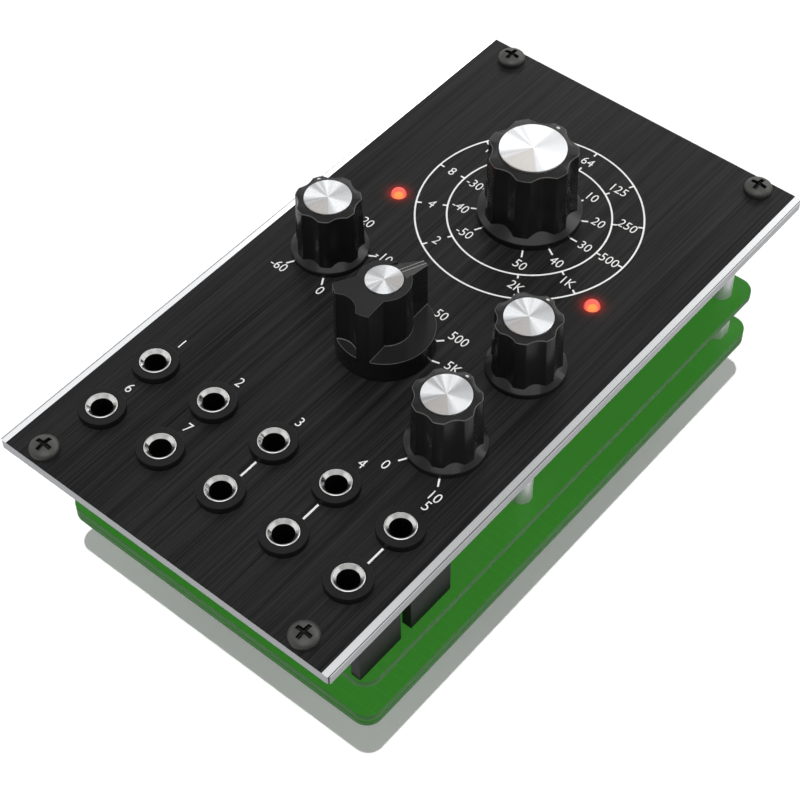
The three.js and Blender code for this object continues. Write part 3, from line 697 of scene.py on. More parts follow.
def panel_finish(looks):
    """Black brushed face with bare silver strips, sides in a darker silver as painted shade, a thin
    dark line painted near each long edge, and the lamps' glow on it.
    """
    finish = Finish("panel_black_brushed", IOR=1.4, Specular_IOR_Level=0.095, Emission_Strength=1.0)
    source = finish.source
    streak_scale = (1 / looks.streak_width, 1 / looks.streak_length, 1 / looks.streak_length)
    streaks = source.noise(source.place(scale=streak_scale), 1.0, 3.0, 0.6)
    broad = source.noise(source.place(scale=streak_scale), 0.3, 1.0)
    clouds = source.noise(source.place(), 25.0, 2.0)
    x, y, z = source.axes(source.place())
    strip_start = PANEL_HIGH.x - looks.strip_width
    strip = abs(x).over(strip_start)
    fall = (abs(x) - strip_start).most(0.0) * (looks.strip_fall / looks.strip_width)
    face_skin, rear_skin = 0.03 * MM, 0.02 * MM
    side = (FACE - face_skin - fall - z).over(0.0) * (z - REAR - rear_skin).over(0.0)
    # A thin dark line painted near each long edge
    outside = PANEL_HIGH.x - looks.edge_width
    line = abs(x).over(outside - looks.line_width) * (outside - abs(x)).over(0.0)
    silver = strip.most(side)
    tone = 1.7 * streaks + 0.7 * broad + 0.3 * clouds - 0.85
    black = source.mix(tone, (0.0, 0.0, 0.0), tint(looks.black, 2.2))
    bare = source.mix(broad * 0.1, looks.silver, tint(looks.silver, 0.8))
    # Painted shade: the upright sides take the darker silver
    bare = source.mix(side, bare, looks.side)
    bare = source.mix(line, bare, looks.line)
    glow = None
    for lamp in ("lamp_left", "lamp_right"):
        centre = axis_of(lamp)
        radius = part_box(lamp)[1].x - centre.x
        across = x - centre.x
        along = y - centre.y
        distance = source.length(across, along)
        halo = source.math("EXPONENT", (radius - distance) / looks.glow_reach).least(1.0)
        glow = halo if glow is None else glow + halo
    glow = glow * (z - FACE + 0.3 * MM).over(0.0) * (1.0 - strip)
    finish.set(
        Base_Color=source.mix(silver, black, bare),
        Metallic=silver * (1.0 - line),
        Roughness=0.33 - 0.21 * silver + 0.06 * streaks * (1.0 - silver),
        Emission_Color=source.mix(glow * 0.13, (0.0, 0.0, 0.0), looks.glow),
        Normal=source.bump((streaks - 0.5) * (1.0 - 0.98 * silver), 0.015 * MM, 0.6),
    )
    return finish.material


def ink_finish(sizes):
    finish = Finish("printing_ink", IOR=1.3)
    source = finish.source
    patches = source.noise(source.place(), 900.0, 3.0)
    finish.set(
        Base_Color=source.mix(patches * 0.3, sizes.ink, tint(sizes.ink, 0.86)),
        Roughness=0.5 + 0.2 * patches,
        Normal=source.bump(patches, 0.01 * MM, 0.4),
    )
    return finish.material


def moulded_finish(name, color, roughness, grain=1500.0, gloss=0.5):
    """Moulded plastic with a fine grain and faint clouds."""
    finish = Finish(name, IOR=1.45, Specular_IOR_Level=gloss)
    source = finish.source
    fine = source.noise(source.place(), grain, 2.0)
    clouds = source.noise(source.place(), 180.0, 3.0)
    finish.set(
        Base_Color=source.mix(clouds, tint(color, 0.75), tint(color, 1.3)),
        Roughness=roughness + 0.1 * clouds - 0.05,
        Normal=source.bump(fine, 0.002 * MM, 0.5),
    )
    return finish.material


def metal_finish(name, color, roughness, stretch=(1.0, 1.0, 1.0), grain=700.0, metallic=1.0):
    """Plated or machined metal with faint marks."""
    finish = Finish(name, IOR=1.5)
    source = finish.source
    marks = source.noise(source.place(scale=stretch), grain, 3.0, 0.6)
    finish.set(
        Base_Color=source.mix(marks, tint(color, 0.82), tint(color, 1.08)),
        Metallic=metallic - 0.06 * marks,
        Roughness=roughness + 0.12 * marks - 0.06,
        Normal=source.bump(marks, 0.003 * MM, 0.5),
    )
    return finish.material


def cap_finish(name, centre, looks, start, shine, contrast):
    """Spun metal: sectors of light and dark round the axis as painted reflection, over fine turned
    rings.
    """
    finish = Finish(name)
    source = finish.source
    x, y, _ = source.axes(source.place(centre))
    reach = source.length(x, y)
    turn = source.math("FRACT", start / 360 + 1.0 - source.math("ARCTAN2", y, x) / (2 * math.pi))
    # Painted reflection: light and dark sectors by angle round the axis
    tone = source.ramp(turn, *[(degrees / 360, value) for degrees, value in CAP_REFLECTION_TONES])
    fine = source.noise(source.node("ShaderNodeCombineXYZ", None, {0: turn * 12.0}), 3.0, 4.0, 0.7)
    tone = 1.0 - contrast * (1.0 - tone - 0.2 * (fine - 0.5))
    warm = source.ramp(turn, *[(degrees / 360, value) for degrees, value in CAP_WARM_REFLECTION])
    ring_width = 0.09 * MM
    rings = source.math("SINE", reach * (2 * math.pi / ring_width))
    light = source.mix(warm, tint(looks.light, shine), tint(looks.warm, shine))
    finish.set(
        Base_Color=source.mix(tone, looks.dark, light),
        Metallic=0.8 + 0.02 * rings,
        Roughness=0.3 + 0.03 * rings,
        Normal=source.bump(rings, 0.003 * MM, 0.25),
    )
    return finish.material


def board_finish(looks):
    """Green solder mask over faint tracks, with duller raw edges."""
    finish = Finish("board_green", IOR=1.5, Specular_IOR_Level=0.12)
    source = finish.source
    normal = source.node("ShaderNodeNewGeometry", output="Normal")
    _, _, up = source.axes(normal)
    flat = abs(up).over(0.7)
    place = source.place()
    brick = {
        "Vector": place,
        "Color1": (0.0, 0.0, 0.0, 1.0),
        "Color2": (0.2, 0.2, 0.2, 1.0),
        "Mortar": (1.0, 1.0, 1.0, 1.0),
        "Scale": 1.0,
        "Mortar Size": 0.16 * MM,
        "Mortar Smooth": 0.3,
        "Brick Width": 7.3 * MM,
        "Row Height": 1.9 * MM,
    }
    tracks = source.node("ShaderNodeTexBrick", {"offset": 0.37, "squash": 0.6}, brick)
    patches = source.noise(place, 45.0, 2.0)
    tracks = tracks * (patches - 0.5).over(0.0)
    clouds = source.noise(place, 400.0, 3.0)
    mask = source.mix(tracks * 0.15, looks.mask, tint(looks.mask, 1.5))
    mask = source.mix(clouds * 0.15, mask, tint(looks.mask, 0.7))
    raw = source.noise(source.place(scale=(1.0, 1.0, 12.0)), 900.0, 2.0)
    laminate = source.mix(raw, tint(looks.laminate, 0.85), tint(looks.laminate, 1.2))
    finish.set(
        Base_Color=source.mix(flat, laminate, mask),
        Roughness=0.42 - 0.24 * flat + 0.08 * clouds,
        Normal=source.bump(tracks, 0.02 * MM, 0.5),
    )
    return finish.material


def lamp_finish(name, centre, looks):
    """A lit lens: red, with an orange glow painted in its lower part and a painted shade as a dark
    rim at its far side, both set for the camera's view.
    """
    finish = Finish(
        name, Base_Color=looks.red, Roughness=0.3, Specular_IOR_Level=0.1, Emission_Strength=1.0
    )
    source = finish.source
    x, y, _ = source.axes(source.place(centre))
    down, across = source.turned(x, y, PICTURE_DOWN)
    down, across = down / looks.radius, across / looks.radius
    low = source.math("SQRT", across * across * 0.8 + (down - 0.62) * (down - 0.62) * 2.4)
    orange = source.ramp(low, (0.4, 1.0), (0.62, 0.0))
    edge = source.length(x, y) / looks.radius
    far_rim_shade = source.ramp(edge - 0.35 * down, (0.72, 1.0), (0.98, 0.2))
    glow = source.mix(far_rim_shade, looks.rim, source.mix(orange, looks.red, looks.orange))
    finish.set(Base_Color=source.mix(0.08, (0.0, 0.0, 0.0), looks.red), Emission_Color=glow)
    return finish.material


# Pieces that several operators share


def deepen_dome(piece, radius, rise, steps=6):
    """Raises a round piece's top face step by step into a dome."""
    pick(piece, "FACE", looks_up)
    last_reach, last_rise = radius, 0.0
    for step in range(1, steps + 1):
        angle = step * math.pi / (2 * steps + 0.4)
        reach, lift = radius * math.cos(angle), rise * math.sin(angle)
        bpy.ops.mesh.inset(thickness=last_reach - reach)
        bpy.ops.transform.translate(value=(0.0, 0.0, lift - last_rise))
        last_reach, last_rise = reach, lift
    close_edit()


def screw_head(radius, edge_height, height, cross, base=0.0):
    """A domed pan head with a crossed recess, standing on the given level."""
    head = add_rod(radius, base, base + edge_height, COARSE)
    deepen_dome(head, radius, height - edge_height)
    half_length, half_width, depth = cross
    floor, top = base + height - depth, base + height + PAST
    bar = add_post(half_length, half_width, floor, top)
    combine(bar, add_post(half_width, half_length, floor, top), "UNION")
    combine(head, bar, "DIFFERENCE")
    return round_edges(head, 0.05 * MM, 2, 50.0)


def lobe_offset(vertex, lobes):
    """How far a vertex is from the middle of the nearest ridge, as a share of a lobe."""
    turn = math.atan2(vertex.co.x, vertex.co.y) * lobes / (2 * math.pi) % 1.0
    return min(turn, 1.0 - turn)


def fluted_grip(sizes, looks, bottom, top, seat):
    """A cone whose sides are drawn in between its ridges, one set of vertices at a time."""
    steps = 20
    vertices = looks.lobes * steps
    edge_height = top - sizes.fall
    grip = add_cone(sizes.foot, sizes.top, bottom, edge_height, vertices, turn=math.pi / vertices)
    step_faces(grip, looks_up, sizes.top - seat, sizes.fall)
    half_ridge = looks.ridge_share / 2
    close = 0.2 / steps
    for step in range(steps // 2):
        offset = (step + 0.5) / steps
        if offset < half_ridge + close:
            continue
        along = (offset - half_ridge) / (1.0 - looks.ridge_share)
        depth = sizes.scoop * (1.0 - (2.0 * along - 1.0) ** 2)
        factor = 1.0 - depth / sizes.top

        def is_here(vertex):
            outside = vertex.co.xy.length > seat + NEAR
            return outside and abs(lobe_offset(vertex, looks.lobes) - offset) < close

        scale_vertices(grip, is_here, factor, factor)
    return round_edges(grip, sizes.edge / 2, 3, 25.0)


def knob_skirt(sizes):
    bottom = FACE + sizes.gap
    skirt = add_rod(sizes.skirt, bottom, bottom + sizes.rim, FINE)
    step_faces(skirt, looks_up, sizes.skirt - sizes.cone, sizes.cone_rise)
    return round_edges(skirt, EDGE, 3, 25.0)


def hollow_knob(piece, looks, sizes, cap_node):
    """Cuts the room for nut, bushing and shaft from below, and the cap's seat from above."""
    bottom = FACE + sizes.gap
    cap_low, cap_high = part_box(cap_node)
    drill(piece, looks.nut_room, bottom - PAST, bottom + looks.nut_hollow)
    drill(piece, looks.bushing_room, bottom - PAST, bottom + looks.hollow)
    seat = radius_of(cap_node) + looks.cap_gap
    return drill(piece, seat, cap_low.z - looks.seat_depth, cap_high.z + PAST, FINE)


def fluted_knob(sizes, looks, cap_node):
    lip = 0.2 * MM
    seat = radius_of(cap_node) + lip
    grip = fluted_grip(sizes, looks, FACE + sizes.gap + sizes.rim * 0.8, FACE + sizes.height, seat)
    knob = combine(knob_skirt(sizes), grip, "UNION")
    return hollow_knob(knob, looks, sizes, cap_node)


def pointer_dot(sizes):
    top = FACE + sizes.height - 0.6 * sizes.fall
    proud = 0.02 * MM
    dot = add_rod(sizes.dot, top - NEAR, top + proud, 32)
    return round_edges(put(dot, (0.0, sizes.dot_place)), proud)


def add_ring(radius, width, bottom, top, x=0.0, y=0.0):
    ring = add_rod(radius + width / 2, bottom, top, 192, x, y)
    return drill(ring, radius - width / 2, bottom - PAST, top + PAST, 192, x, y)


def add_tick(sizes, place, degrees, start, end):
    """A printed mark that points at a dial's axis, its angle counted clockwise from the top."""
    half = sizes.line_width / 2
    tick = add_block((-half, start, 0.0), (half, end, sizes.thickness))
    return put(tick, place, -degrees, FACE)


def add_number(sizes, text, place, height):
    """Printed digits, centred on their place."""
    deselect()
    bpy.ops.object.text_add()
    letters = bpy.context.object
    letters.data.body = text
    letters.data.extrude = sizes.thickness / 2
    letters.data.resolution_u = 3
    letters.data.offset = -0.004
    letters.data.size = 1.0
    bpy.ops.object.convert(target="MESH")
    letters = bpy.context.object
    corners = [vertex.co for vertex in letters.data.vertices]
    low = [min(corner[axis] for corner in corners) for axis in range(2)]
    high = [max(corner[axis] for corner in corners) for axis in range(2)]
    tall = height / DIGIT_HEIGHT
    wide = tall * DIGIT_WIDTH
    letters.scale = (wide, tall, 1.0)
    middle = (wide * (low[0] + high[0]) / 2, tall * (low[1] + high[1]) / 2)
    corner = (place[0] - middle[0], place[1] - middle[1])
    return put(letters, corner, height=FACE + sizes.thickness / 2)


def around(place, degrees, radius):
    angle = math.radians(degrees)
    return (place[0] + radius * math.sin(angle), place[1] + radius * math.cos(angle))


def paint_node(node, material):
    for material_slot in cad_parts[node].material_slots:
        material_slot.material = material


# One operator for each piece or group of like pieces


class MODULE_OT_panel(bpy.types.Operator):
    """Paints the front panel: black brushed face, silver edges and the glow of the lamps"""

    bl_idname = "module.panel"
    bl_label = "Front panel"

    def execute(self, context):
        paint_node("front_panel", panel_finish(context.scene.panel_looks))
        return {"FINISHED"}


class MODULE_OT_printing(bpy.types.Operator):
    """Prints rings, marks and numbers on the panel"""

    bl_idname = "module.printing"
    bl_label = "Printing"

    def execute(self, context):
        sizes = context.scene.print_sizes
        ink = ink_finish(sizes)
        groups = {"main_scale": self.main_scale(sizes)}
        for dial in SCALES:
            groups[f"{dial}_scale"] = self.side_scale(sizes, dial)
        groups["socket_marks"] = self.socket_marks(sizes)
        for name, marks in groups.items():
            dress(merge(marks), name, "panel_black_brushed", ink)
        return {"FINISHED"}

    def main_scale(self, sizes):
        """Two rings of marks, with numbers inside and between them."""
        place = dial_place("main")
        width, top = sizes.line_width, FACE + sizes.thickness
        inner, outer = sizes.inner_ring, sizes.outer_ring
        ticks = (8.9 * MM, 10.5 * MM), (inner, inner + 0.9 * MM), (outer - MM, outer)
        between, inside = (inner + outer) / 2, 12.35 * MM
        marks = [add_ring(radius, width, FACE, top, place.x, place.y) for radius in (inner, outer)]
        for index, number in enumerate(MAIN_NUMBERS):
            degrees = 30 * index - 150
            marks += [add_tick(sizes, place, degrees, start, end) for start, end in ticks]
            for text, reach in ((number, between), (str(10 * index - 50), inside)):
                spot = around(place, degrees, reach)
                marks.append(add_number(sizes, text, spot, sizes.number_height))
        return marks

    def side_scale(self, sizes, dial):
        """Marks and numbers. The numbers next to the top stand closer to the dial."""
        place = dial_place(dial)
        start, end, reach, numbers = SCALES[dial]
        marks = []
        for degrees, number in numbers.items():
            closer = 0.8 if abs(degrees) == 15 else 0.0
            spot = around(place, degrees, (reach - closer) * MM)
            marks.append(add_tick(sizes, place, degrees, start * MM, end * MM))
            marks.append(add_number(sizes, number, spot, sizes.number_height))
        return marks

    def socket_marks(self, sizes):
        marks = []
        half, clear = sizes.line_width * 0.6, 4.3 * MM
        for number in NUMBERED_SOCKETS:
            place = axis_of(f"jack_nut_{number}")
            spot = (place.x, place.y + sizes.label_rise)
            marks.append(add_number(sizes, str(number), spot, sizes.label_height))
        for upper, lower in JOINED_SOCKETS:
            high, low = axis_of(f"jack_nut_{upper}"), axis_of(f"jack_nut_{lower}")
            start = (low.x - half, low.y + clear, FACE)
            end = (low.x + half, high.y - clear, FACE + sizes.thickness)
            marks.append(add_block(start, end))
        return marks


class MODULE_OT_rack_screws(bpy.types.Operator):
    """Models the four screws in the panel's corners"""

    bl_idname = "module.rack_screws"
    bl_label = "Rack screws"

    def execute(self, context):
        look = {"grain": 500.0, "metallic": 0.6}
        metal = metal_finish("screw_dark_metal", (0.052, 0.052, 0.048), 0.44, **look)
        # Painted shade: the recess's floor and walls are painted near black
        recess_shade = moulded_finish("screw_recess_shade", (0.006, 0.006, 0.006), 0.6, gloss=0.1)
        low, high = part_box("panel_screw_top_left")
        radius = (high.x - low.x) / 2
        half_length, half_width, depth = 1.5 * MM, 0.36 * MM, 0.95 * MM
        edge_height, shank = 0.75 * MM, 1.45 * MM
        cross = half_length, half_width, depth
        head = screw_head(radius, edge_height, high.z - FACE, cross, FACE)
        combine(head, add_rod(shank, low.z, FACE + 0.2 * MM, 48), "UNION")
        for corner in ("top_left", "top_right", "bottom_left", "bottom_right"):
            node = f"panel_screw_{corner}"
            place = axis_of(node)
            screw = copy_piece(head, place)
            name, slot = f"rack_screw_{corner}", "screw_dark_metal"
            dress(screw, name, slot, metal, recess_shade, nodes=[node])

            def in_recess(face):
                near, far = sorted(abs(value) for value in (face.center - place).xy)
                inside = far < half_length + 2 * CLOSE and near < half_width + 2 * CLOSE
                floor = face.normal.z > 0.98 and face.center.z < high.z - depth + 0.15 * MM
                wall = abs(face.normal.z) < 0.4
                return inside and face.center.z > FACE + 0.5 * MM and (floor or wall)

            # Painted shade in the crossed recess
            paint_faces(screw, 1, in_recess)
        discard(head)
        return {"FINISHED"}


class MODULE_OT_sockets(bpy.types.Operator):
    """Models the sockets: moulded housing, plated rim and ring nut"""

    bl_idname = "module.sockets"
    bl_label = "Sockets"

    def execute(self, context):
        sizes = context.scene.socket_sizes
        plastic = moulded_finish("socket_plastic", (0.012, 0.012, 0.012), 0.5, gloss=0.15)
        nickel = metal_finish("socket_nickel", (0.66, 0.66, 0.65), 0.16, grain=900.0)
        black = moulded_finish("nut_black", (0.01, 0.01, 0.01), 0.35, gloss=0.13)
        dark = moulded_finish("bore_black", (0.004, 0.004, 0.004), 0.5, gloss=0.2)
        housing, rim, nut = self.housing(sizes), self.rim(sizes), self.nut(sizes)
        for number in SOCKETS:
            socket_node, nut_node = f"jack_socket_{number}", f"jack_nut_{number}"
            place = axis_of(nut_node)
            name, slot = f"socket_housing_{number}", "socket_plastic"
            dress(copy_piece(housing, place), name, slot, plastic, nodes=[socket_node])
            ring = copy_piece(rim, place)
            dress(ring, f"socket_rim_{number}", slot, nickel, dark)
            self.darken_bore(ring, sizes, place)
            name, slot = f"ring_nut_{number}", "nut_black"
            dress(copy_piece(nut, place), name, slot, black, nodes=[nut_node])
        discard(housing, rim, nut)
        return {"FINISHED"}

    def housing(self, sizes):
        low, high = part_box("jack_socket_3")
        centre = axis_of("jack_nut_3")
        half_width = (high.x - low.x) / 2
        front = low.y - centre.y
        case = add_post(half_width, -front, low.z, REAR)
        slot_half = half_width - sizes.post
        slot_low = (-slot_half, front - PAST, low.z - PAST)
        slot = add_block(slot_low, (slot_half, front + sizes.slot_depth, REAR + PAST))
        combine(case, slot, "DIFFERENCE")
        round_edges(case, EDGE)
        bore_bottom = FACE + sizes.rim_height - sizes.bore_depth
        return drill(case, sizes.bore, bore_bottom, REAR + PAST, 48)

    def rim(self, sizes):
        top = FACE + sizes.rim_height
        rim = add_rod(sizes.rim, REAR, top, COARSE)
        drill(rim, sizes.bore, REAR - PAST, top + PAST, COARSE)
        at_top = edges_at(top)

        def at_mouth(edge):
            return at_top(edge) and all(v.co.xy.length < sizes.bore + NEAR for v in edge.verts)

        def at_outside(edge):
            return at_top(edge) and all(v.co.xy.length > sizes.rim - NEAR for v in edge.verts)

        bevel_edges(rim, at_mouth, sizes.mouth, 1)
        bevel_edges(rim, at_outside, sizes.rim_edge, 3)
        return rim

    def nut(self, sizes):
        top = FACE + sizes.nut_height
        nut = add_rod(sizes.nut, FACE, top, 96)
        bevel_edges(nut, edges_at(top), sizes.nut_edge, 2)
        return drill(nut, sizes.rim + 0.08 * MM, FACE - PAST, top + PAST)

    def darken_bore(self, ring, sizes, place):
        depth = FACE + sizes.rim_height - sizes.mouth - NEAR

        def in_bore(face):
            return reach_of(face, place) < sizes.bore + NEAR / 2 and face.center.z < depth

        paint_faces(ring, 1, in_bore)


class MODULE_OT_fluted_knobs(bpy.types.Operator):
    """Models the four fluted knobs and their white dots"""

    bl_idname = "module.fluted_knobs"
    bl_label = "Fluted knobs"

    def execute(self, context):
        scene = context.scene
        looks = scene.knob_looks
        black = moulded_finish("knob_gloss_black", looks.black, 0.2, gloss=0.19)
        # Painted highlight: paler paint on the knobs' rounded top edges
        worn = moulded_finish("knob_edge_highlight", looks.worn, 0.32, gloss=0.4)
        white = moulded_finish("dot_white", (0.6, 0.6, 0.55), 0.45)
        small_dials = [dial for dial in FLUTED_DIALS if dial != "main"]
        for sizes, dials in ((scene.main_knob, ["main"]), (scene.small_knob, small_dials)):
            knob = fluted_knob(sizes, looks, f"{dials[0]}_knob_cap")
            dot = pointer_dot(sizes)
            for dial in dials:
                place, turn = dial_place(dial), FLUTED_DIALS[dial]
                body, slot, nodes = f"{dial}_dial", "knob_gloss_black", [f"{dial}_knob"]
                piece = copy_piece(knob, place, turn)
                dress(piece, f"{dial}_fluted_knob", slot, black, worn, body=body, nodes=nodes)
                self.polish_edge(piece, sizes, place)
                dress(copy_piece(dot, place, turn), f"{dial}_dot", slot, white, body=body)
            discard(knob, dot)
        return {"FINISHED"}

    # Paints the pale highlight colour on the grip's rounded top edge
    def polish_edge(self, piece, sizes, place):
        low = FACE + sizes.height - sizes.fall - sizes.edge
        inner = sizes.top - sizes.scoop - sizes.edge

        def on_edge(face):
            rounded = 0.2 < face.normal.z < 0.95
            return rounded and reach_of(face, place) > inner and face.center.z > low

        paint_faces(piece, 1, on_edge)


class MODULE_OT_selector_knob(bpy.types.Operator):
    """Models the pointer knob of the range switch"""

    bl_idname = "module.selector_knob"
    bl_label = "Selector knob"

    def execute(self, context):
        scene = context.scene
        sizes, looks = scene.selector, scene.knob_looks
        black = moulded_finish("selector_gloss_black", looks.black, 0.2, gloss=0.19)
        # Painted highlights for the rounded edges and for the band at the grip's foot
        worn = moulded_finish("selector_edge_highlight", looks.worn, 0.32, gloss=0.5)
        seam_highlight_grey = moulded_finish("selector_seam_highlight", looks.seam, 0.4, gloss=0.25)
        pale = moulded_finish("pointer_line_grey", (0.24, 0.24, 0.23), 0.4)
        place = dial_place("selector")
        knob = combine(self.foot(sizes), self.grip(sizes), "UNION")
        hollow_knob(knob, looks, sizes, "selector_knob_cap")
        seam = FACE + sizes.foot_top + sizes.seam
        slice_piece(knob, (0.0, 0.0, seam), (0.0, 0.0, 1.0))
        line = put(self.line(sizes), place, SELECTOR_TURN)
        put(knob, place, SELECTOR_TURN)
        slot, body, nodes = "knob_gloss_black", "selector_dial", ["selector_knob"]
        dress(knob, "selector_pointer_knob", slot, black, worn, seam_highlight_grey, body=body, nodes=nodes)
        dress(line, "selector_pointer_line", slot, pale, body=body)
        self.polish_edges(knob, sizes, place)
        return {"FINISHED"}

    def polish_edges(self, knob, sizes, place):
        """Paints highlights: pale paint on the rounded edges of the grip and foot, and paler paint
        on a band where the grip meets the foot.
        """
        foot_top, top = FACE + sizes.foot_top, FACE + sizes.height
        inner = radius_of("selector_knob_cap") + 0.3 * MM

        def is_polished(face):
            height, slope = face.center.z, face.normal.z
            rounded = 0.3 < slope < 0.93 and reach_of(face, place) > inner
            on_top = rounded and height > top - sizes.tip_eaves - 2 * sizes.edge
            return on_top or (rounded and foot_top - 0.4 * MM < height < foot_top)

        def is_seam(face):
            upright = abs(face.normal.z) < 0.3 and reach_of(face, place) > inner
            return upright and foot_top < face.center.z < foot_top + sizes.seam

        paint_faces(knob, 1, is_polished)
        paint_faces(knob, 2, is_seam)

    def foot(self, sizes):
        top = FACE + sizes.foot_top
        foot = add_rod(sizes.foot, FACE + sizes.gap, top, FINE)
        bevel_edges(foot, edges_at(top), 0.14 * MM, 3)
        return foot

    def grip(self, sizes):
        sunk = 0.6 * MM
        low, top = FACE + sizes.foot_top - sunk, FACE + sizes.height
        boss = add_cone(sizes.boss, sizes.boss * sizes.top_share, low, top)
        grip = round_edges(boss, sizes.edge, 3)
        combine(grip, round_edges(self.tail(sizes, low, top), sizes.edge, 3, 32.0), "UNION")
        combine(grip, self.roof_room(sizes, top), "DIFFERENCE")
        pointer = round_edges(self.pointer(sizes, low, top), sizes.edge / 2, 2, 32.0)
        return combine(grip, pointer, "UNION")

    def tail(self, sizes, low, top):
        reach = sizes.foot * 1.05
        flare = (sizes.tail - sizes.waist) / (sizes.tail_y - sizes.waist_y)
        end_half = sizes.waist + flare * (reach - sizes.waist_y)
        overlap = 0.35 * MM
        front = sizes.waist_y - overlap
        tail = add_block((-end_half, -reach, low), (end_half, -front, top))
        narrow = (sizes.waist - flare * overlap) / end_half
        scale_vertices(tail, lambda vertex: vertex.co.y > -front - NEAR, narrow, 1.0)
        combine(tail, add_rod(sizes.foot + 2 * CLOSE, low - PAST, top + PAST, FINE), "INTERSECT")
        depth = sizes.scoop_depth
        radius = (sizes.scoop**2 + depth**2) / (2 * depth)
        edge_y = -math.sqrt(sizes.foot**2 - sizes.scoop**2)
        drill(tail, radius, low - PAST, top + PAST, y=edge_y + depth - radius)
        draft = sizes.top_share
        scale_vertices(tail, lambda vertex: vertex.co.z > top - NEAR, draft, draft)
        return tail

    def pointer(self, sizes, low, top):
        """A wedge in plan, under a roof that falls from the cap to the tip."""
        pointer = self.wedge(sizes, low, top)
        slice_piece(pointer, (0.0, 0.0, 0.0), (1.0, 0.0, 0.0))
        middle_y = (sizes.pointer_root_y + sizes.foot) / 2
        drops = (
            (True, True, sizes.tip_ridge),
            (True, False, sizes.tip_eaves),
            (False, False, sizes.root_eaves),
        )
        for at_tip, on_ridge, drop in drops:

            def is_here(vertex):
                tip = vertex.co.y > middle_y
                ridge = abs(vertex.co.x) < NEAR / 2
                return vertex.co.z > top - 3 * MM and tip == at_tip and ridge == on_ridge

            pick(pointer, "VERT", is_here)
            bpy.ops.transform.translate(value=(0.0, 0.0, -drop))
            close_edit()
        return pointer

    def wedge(self, sizes, low, top):
        root_y = sizes.pointer_root_y
        tip_y = math.sqrt(sizes.foot**2 - sizes.pointer_tip**2)
        wedge = add_block((-sizes.pointer_root, root_y, low), (sizes.pointer_root, tip_y, top))
        narrow = sizes.pointer_tip / sizes.pointer_root
        scale_vertices(wedge, lambda vertex: vertex.co.y > tip_y - NEAR, narrow, 1.0)
        return wedge

    def roof_room(self, sizes, top):
        """The room over the pointer's roof, cut out of the boss."""
        room = self.wedge(sizes, top - 3 * MM, top + PAST)
        return combine(room, self.pointer(sizes, top - 5 * MM, top), "DIFFERENCE")

    def line(self, sizes):
        """Two fine ribs along the pointer's ridge."""
        start_y = sizes.pointer_root_y + 0.3 * MM
        run = sizes.foot - start_y - 0.05 * MM
        slope = math.atan2(sizes.tip_ridge, sizes.foot - sizes.pointer_root_y)
        ribs = []
        spread, half, edge = 0.34 * MM, 0.07 * MM, 0.02 * MM
        for x in (-spread, spread):
            high = (x + half, run / math.cos(slope), edge)
            rib = round_edges(add_block((x - half, 0.0, -0.3 * MM), high), edge)
            rib.rotation_euler = (-slope, 0.0, 0.0)
            drop = math.tan(slope) * (start_y - sizes.pointer_root_y)
            rib.location = (0.0, start_y, FACE + sizes.height - drop)
            ribs.append(settle(rib))
        return merge(ribs)


class MODULE_OT_knob_caps(bpy.types.Operator):
    """Models the spun caps in the knobs' tops"""

    bl_idname = "module.knob_caps"
    bl_label = "Knob caps"

    def execute(self, context):
        looks = context.scene.cap_looks
        for dial in DIALS:
            node = f"{dial}_knob_cap"
            low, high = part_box(node)
            centre = axis_of(node)
            cap = add_rod(radius_of(node), low.z, high.z, FINE)
            bevel_edges(cap, edges_at(high.z), looks.edge, 3)
            put(cap, centre)
            metal = cap_finish(f"cap_spun_{dial}", centre, looks, *CAP_REFLECTION_SHINE[dial])
            name, body, slot = f"{dial}_spun_cap", f"{dial}_dial", "cap_spun_aluminium"
            dress(cap, name, slot, metal, body=body, nodes=[node])
        return {"FINISHED"}


class MODULE_OT_lamps(bpy.types.Operator):
    """Models the two lit lamps and their leads"""

    bl_idname = "module.lamps"
    bl_label = "Lamps"

    def execute(self, context):
        looks = context.scene.lamp_looks
        tin = metal_finish("lead_tin", (0.6, 0.6, 0.6), 0.35)
        dome = looks.radius * 0.8
        lens_bottom = REAR - 3 * MM
        flange_radius, lead_x, lead_half = 1.9 * MM, 0.8 * MM, 0.25 * MM
        lens = add_rod(looks.radius, lens_bottom, FACE + looks.rise - dome, 48)
        deepen_dome(lens, looks.radius, dome, 8)
        flange = round_edges(add_rod(flange_radius, REAR - MM, REAR, 48), 0.1 * MM)
        combine(lens, flange, "UNION")
        leads = []
        for x in (-lead_x, lead_x):
            lead = add_post(lead_half, lead_half, UPPER_TOP, lens_bottom, x)
            leads.append(round_edges(lead, 0.05 * MM))
        leads = merge(leads)
        for lamp in ("lamp_left", "lamp_right"):
            centre = axis_of(lamp)
            glow = lamp_finish(f"{lamp}_red", centre, looks)
            lit = copy_piece(lens, centre)
            dress(lit, f"{lamp}_lens", "lamp_red", glow, nodes=[lamp], smooth=40.0)
            dress(copy_piece(leads, centre), f"{lamp}_leads", "lamp_red", tin)
        discard(lens, leads)
        return {"FINISHED"}


class MODULE_OT_boards(bpy.types.Operator):
    """Models the three circuit boards"""

    bl_idname = "module.boards"
    bl_label = "Circuit boards"

    def execute(self, context):
        looks = context.scene.board_looks
        green = board_finish(looks)
        levels = {
            "upper_board": (UPPER_BOTTOM, UPPER_TOP),
            "lower_board": (LOWER_BOTTOM, LOWER_TOP),
            "rear_power_board": (REAR_BOTTOM, REAR_TOP),
        }
        for node, (bottom, top) in levels.items():
            low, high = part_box(node)
            board = add_block((low.x, low.y, bottom), (high.x, high.y, top))

            def is_corner(edge):
                return abs(edge.verts[0].co.z - edge.verts[1].co.z) > NEAR

            bevel_edges(board, is_corner, looks.corner, 16)
            round_edges(board, looks.edge, 2, 60.0)
            dress(board, f"{node}_green", "board_green", green, nodes=[node])
        return {"FINISHED"}


